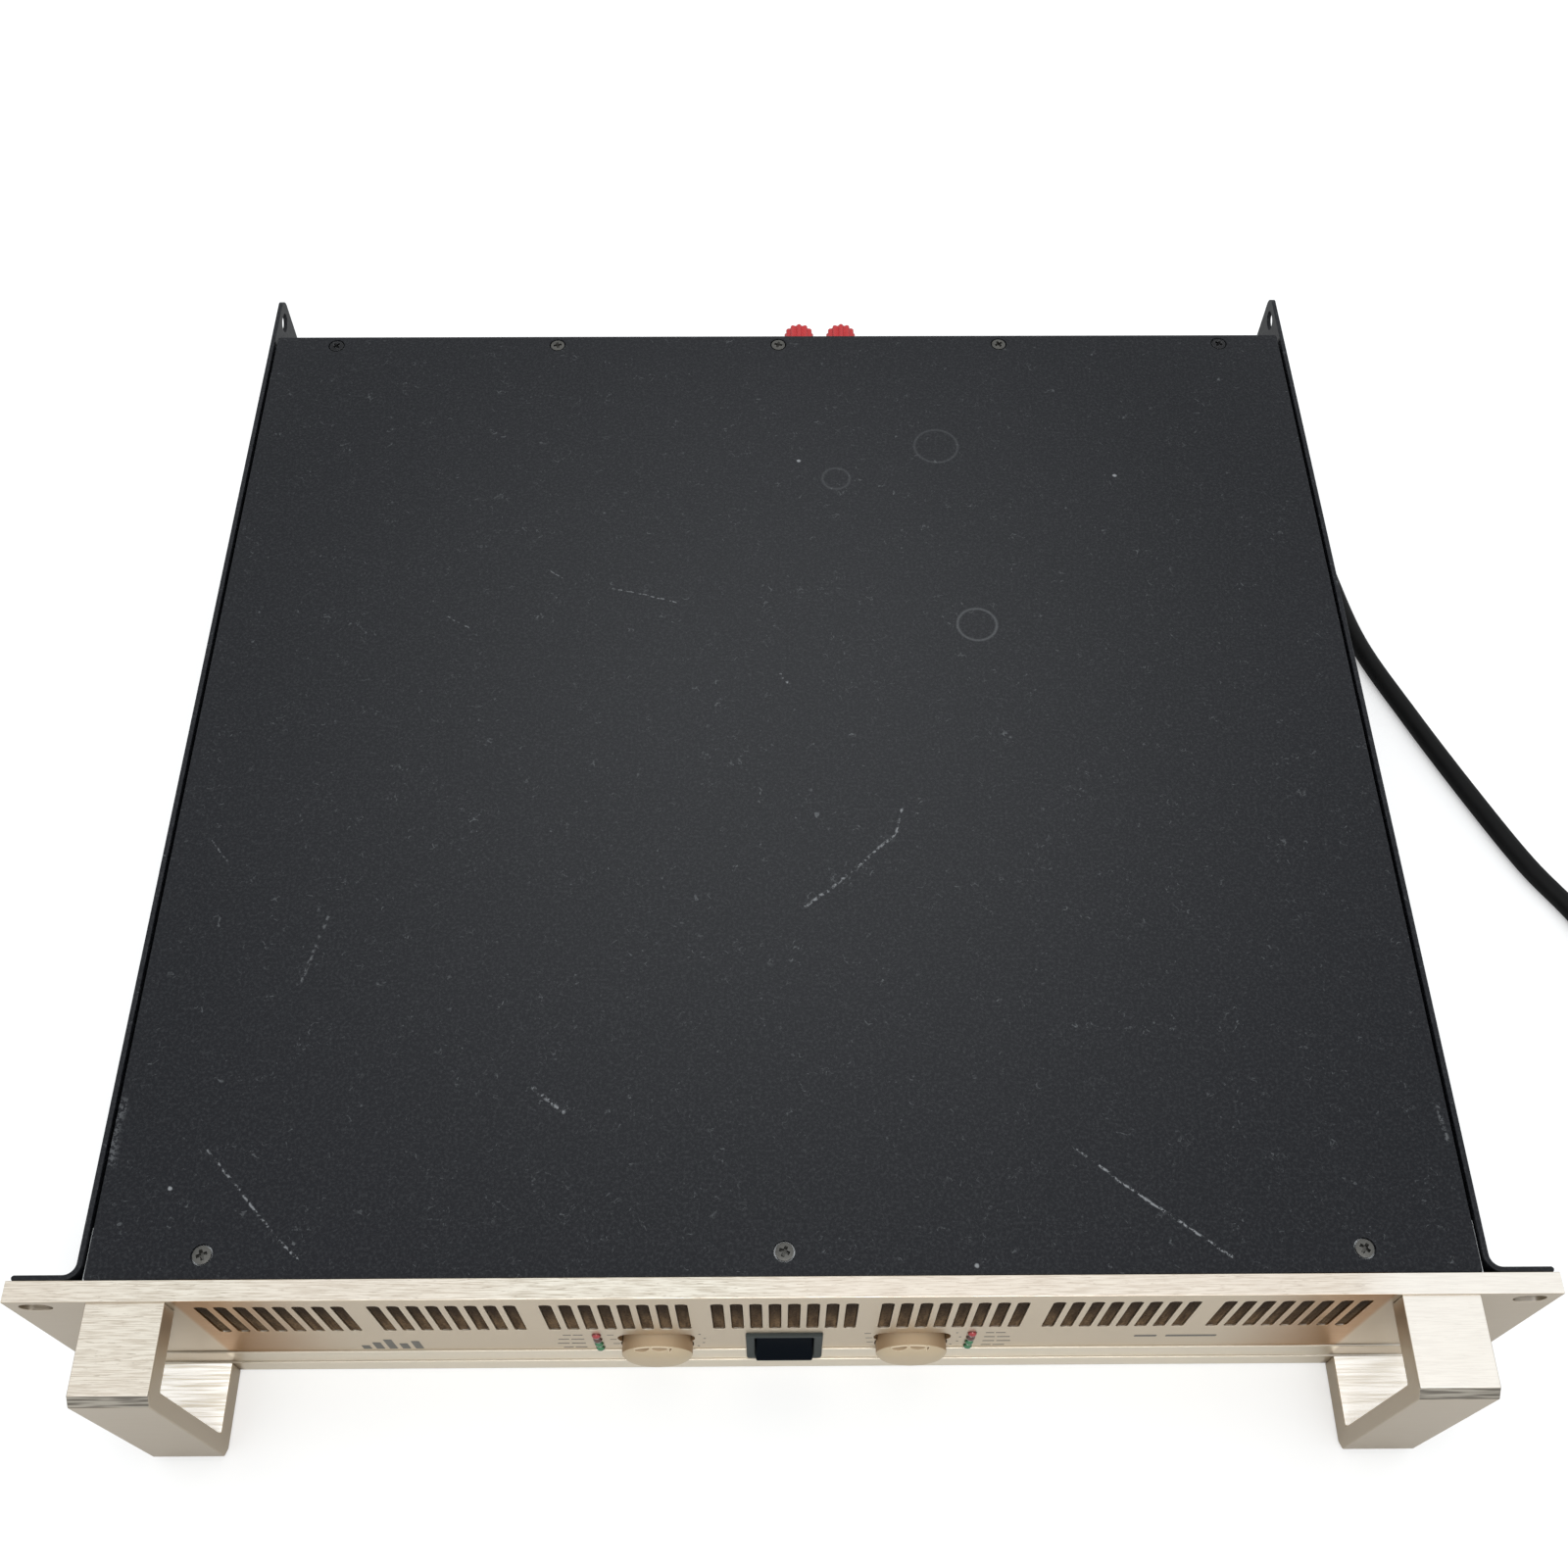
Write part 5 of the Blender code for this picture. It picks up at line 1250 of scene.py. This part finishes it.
def mains_lead(cable_paint, plug_paint, metal_paint):
    """Gland, cable along the floor and a round plug, along the path the CAD cable takes."""
    gland = middle("cable_gland")
    plug = middle("mains_plug")
    radius = 0.0040
    floor = radius + 0.0003
    stations = [
        (gland.x, 0.1920, gland.z), (gland.x, 0.2115, gland.z), (gland.x, 0.2310, gland.z),
        (0.1885, 0.2450, 0.0262), (0.1990, 0.2520, 0.0215), (0.2120, 0.2530, 0.0150),
        (0.2250, 0.2490, 0.0095), (0.2350, 0.2400, 0.0060), (0.2400, 0.2240, floor),
        (0.2450, 0.1800, floor), (0.2510, 0.1390, floor), (0.2585, 0.0980, floor),
        (0.2740, 0.0580, floor), (0.2920, 0.0170, floor), (0.3075, -0.0150, floor),
        (0.3220, -0.0380, floor), (0.3350, -0.0660, floor + 0.0010), (plug.x, -0.1000, 0.0120),
        (plug.x, -0.1250, plug.z), (plug.x, -0.1500, plug.z),
    ]
    cable = tube("cable_sheath", smooth_path(stations, 8), radius)
    fit(cable, cable_paint, ["mains_cable"])
    seat = (gland.x, BACK, gland.z)
    bore = radius + 0.0003
    profile = [
        (bore, 0.0180), (0.0056, 0.0180), (0.0061, 0.0174), (0.0066, 0.0140), (0.0064, 0.0136),
        (0.0064, 0.0124), (0.0069, 0.0120), (0.0072, 0.0102), (0.0090, 0.0098), (0.0095, 0.0090),
        (0.0095, 0.0004), (0.0091, 0.0), (0.0070, 0.0), (0.0070, -0.0080), (bore, -0.0080),
    ]
    fit(turned("gland_collar", profile, seat, TO_BACK, 48), plug_paint, ["cable_gland"])
    back = (plug.x, -0.1330, plug.z)
    shape = [(0, -0.0220), (bore, -0.0220), (bore, 0.0), (0.0056, 0.0), (0.0060, -0.0004)]
    for ring in range(4):
        start = -0.0010 - ring * 0.0036
        girth = 0.0062 + ring * 0.0004
        shape += [(girth, start), (girth + 0.0002, start - 0.0022)]
        shape += [(girth - 0.0008, start - 0.0024), (girth - 0.0008, start - 0.0033)]
    shape += [(0.0082, -0.0165), (0.0150, -0.0215), (0.0172, -0.0240), (0.0181, -0.0275), (0.0183, -0.0300)]
    shape += [(0.0183, -0.0480), (0.0178, -0.0492), (0.0165, -0.0500), (0, -0.0500)]
    body = turned("plug_body", shape, back, TO_BACK, 64)
    fit(body, plug_paint, ["mains_plug"])
    pins = []
    for sign in (-1, 1):
        dome = [math.radians(a) for a in (30, 60, 90)]
        profile = [(0, -0.0180)] + [(0.0024 * math.sin(a), -0.0156 - 0.0024 * math.cos(a)) for a in dome]
        profile += [(0.0024, 0.002), (0, 0.002)]
        seat = (plug.x + sign * 0.0095, back[1] - 0.0500, plug.z)
        pins.append(turned(f"plug_pin_{sign}", profile, seat, TO_BACK, 32))
    fit(join("plug_pins", pins), metal_paint)


# Stage ------------------------------------------------------------------------------------


def floor_material():
    """Matt white paper; the camera sees it a little lighter than the object's metal does."""
    paint = Paint("stage_floor")
    cloud = paint.noise(2.0, 2.0, 0.5)
    tint = paint.mix(cloud, (0.60, 0.60, 0.60), (0.62, 0.62, 0.62))
    seen = paint.both(paint.node("LightPath"), FLOOR_LIFT)
    return paint.finish(
        Base_Color=tint, Roughness=0.8, Specular_IOR_Level=0.1,
        Emission_Color=(1.0, 1.0, 1.0), Emission_Strength=seen,
    )


def studio_world():
    """Even white light from all round, which the camera sees as plain white."""
    world = bpy.data.worlds.new("studio")
    world.use_nodes = True
    tree = world.node_tree
    background = tree.nodes["Background"]
    seen = tree.nodes.new("ShaderNodeLightPath").outputs["Is Camera Ray"]
    level = tree.nodes.new("ShaderNodeMath")
    level.operation = "MULTIPLY_ADD"
    tree.links.new(seen, level.inputs[0])
    level.inputs[1].default_value = SURROUND_LIFT
    level.inputs[2].default_value = 1.0
    tree.links.new(level.outputs[0], background.inputs["Strength"])
    background.inputs["Color"].default_value = (0.955, 0.985, 1.0, 1.0)
    bpy.context.scene.world = world


def stage():
    shape = bmesh.new()
    bmesh.ops.create_grid(shape, x_segments=1, y_segments=1, size=6.0)
    floor = solid("floor", shape)
    floor.data.materials.append(floor_material())
    studio_world()
    overhead = area_light("overhead", (0.0, 0.6, 1.9), (0.0, 0.0, 0.05), 1.6, 11.0)
    overhead.visible_glossy = False
    area_light("front_key", (0.10, -0.75, 1.45), (0.0, -0.25, 0.02), 0.5, 6.0)


def area_light(name, place, target, size, power):
    data = bpy.data.lights.new(name, "AREA")
    data.energy = power
    data.shape = "SQUARE"
    data.size = size
    light = add_object(name, data)
    light.location = place
    light.rotation_euler = (Vector(target) - Vector(place)).to_track_quat("-Z", "Y").to_euler()
    return light


def camera():
    ahead = Vector((
        math.sin(CAMERA_YAW) * math.cos(CAMERA_PITCH),
        math.cos(CAMERA_YAW) * math.cos(CAMERA_PITCH),
        -math.sin(CAMERA_PITCH),
    ))
    right = Vector((math.cos(CAMERA_YAW), -math.sin(CAMERA_YAW), 0.0))
    up = right.cross(ahead)
    level_right = math.cos(CAMERA_ROLL) * right + math.sin(CAMERA_ROLL) * up
    level_up = math.cos(CAMERA_ROLL) * up - math.sin(CAMERA_ROLL) * right
    data = bpy.data.cameras.new("camera")
    data.lens = CAMERA_LENS
    data.sensor_width = 36.0
    data.clip_start = 0.01
    made = add_object("camera", data)
    turn = Matrix((level_right, level_up, -ahead)).transposed()
    made.matrix_world = Matrix.Translation(CAMERA_PLACE) @ turn.to_4x4()
    bpy.context.scene.camera = made


# Everything together ----------------------------------------------------------------------


def paint_hidden_nodes(paints):
    """Give each CAD node that stays in view its finish, by its material slot in the record."""
    slots = {}
    for part in frame["record"]["subparts"]:
        slots[part["node"]] = part.get("material") or part.get("material_slot")
    for name, obj in frame["nodes"].items():
        if obj.hide_render:
            continue
        obj.data.materials.clear()
        obj.data.materials.append(paints[slots[name]])


def build():
    gold = champagne_aluminium()
    coat = black_coat()
    zinc = bare_metal("zinc_plate", (0.46, 0.47, 0.48), (0.62, 0.63, 0.64))
    worn = bare_metal("worn_steel", (0.085, 0.083, 0.077), (0.165, 0.160, 0.148), 1500.0, 0.42, 0.15)
    dark = bare_metal("blackened_steel", (0.020, 0.020, 0.022), (0.050, 0.050, 0.052), 1500.0, 0.42, 0.25)
    aluminium = bare_metal("mill_aluminium", (0.55, 0.56, 0.57), (0.72, 0.73, 0.74))
    cream = moulded("cream_plastic", (0.430, 0.335, 0.215), (0.500, 0.395, 0.262), 0.42, sheen=0.3)
    grey = moulded("bezel_plastic", (0.034, 0.039, 0.037), (0.056, 0.063, 0.060), 0.55, 900.0, 0.00008, 0.1)
    navy = moulded("rocker_plastic", (0.0028, 0.0042, 0.0062), (0.0045, 0.0065, 0.0095), 0.65, sheen=0.012)
    black = moulded("black_plastic", (0.010, 0.010, 0.011), (0.020, 0.020, 0.021), 0.36)
    red = moulded("red_plastic", (0.360, 0.014, 0.018), (0.470, 0.026, 0.029), 0.40)
    rubber = moulded("cable_rubber", (0.003, 0.003, 0.003), (0.007, 0.007, 0.007), 0.50, 900.0, 0.00006, 0.12)
    sleeve = moulded("capacitor_sleeve", (0.012, 0.020, 0.070), (0.022, 0.032, 0.100), 0.30)
    red_lens = lens("red_lens", (0.130, 0.004, 0.006), (0.400, 0.014, 0.018))
    unlit_lens = lens("unlit_lens", (0.030, 0.008, 0.005), (0.075, 0.020, 0.012))
    green_lens = lens("green_lens", (0.005, 0.060, 0.020), (0.022, 0.170, 0.062))
    front_panel(gold)
    for side in ("left", "right"):
        handle(side, gold)
    filter_pad(filter_foam())
    knob_paint = knob_plastic()
    for side in ("left", "right"):
        level_knob(side, knob_paint, aluminium)
    power_switch(grey, navy)
    lamps({"lamp_red": red_lens, "lamp_green": green_lens, "lamp_off": unlit_lens})
    panel_print(ink())
    lid(lid_coat())
    for side, sign in (("left", -1), ("right", 1)):
        side_sheet(side, sign, coat)
    screws(worn, dark)
    rear_sheet(coat)
    terminals(black, zinc, {"1": red, "2": black})
    signal_inputs(black, zinc)
    fan_wheel(black)
    mains_lead(rubber, rubber, zinc)
    paint_hidden_nodes({
        "gold_aluminium": gold, "black_steel": coat, "grey_steel": worn, "zinc_steel": zinc,
        "cream_plastic": cream, "grey_plastic": grey, "black_plastic": black, "red_plastic": red,
        "foam": None, "lamp_red": red_lens, "lamp_green": green_lens, "circuit_board": circuit_board(),
        "winding": winding(), "capacitor_sleeve": sleeve, "raw_aluminium": aluminium, "rubber": rubber,
    })
    stage()
    camera()
    bpy.context.scene.view_settings.view_transform = "Standard"


build()
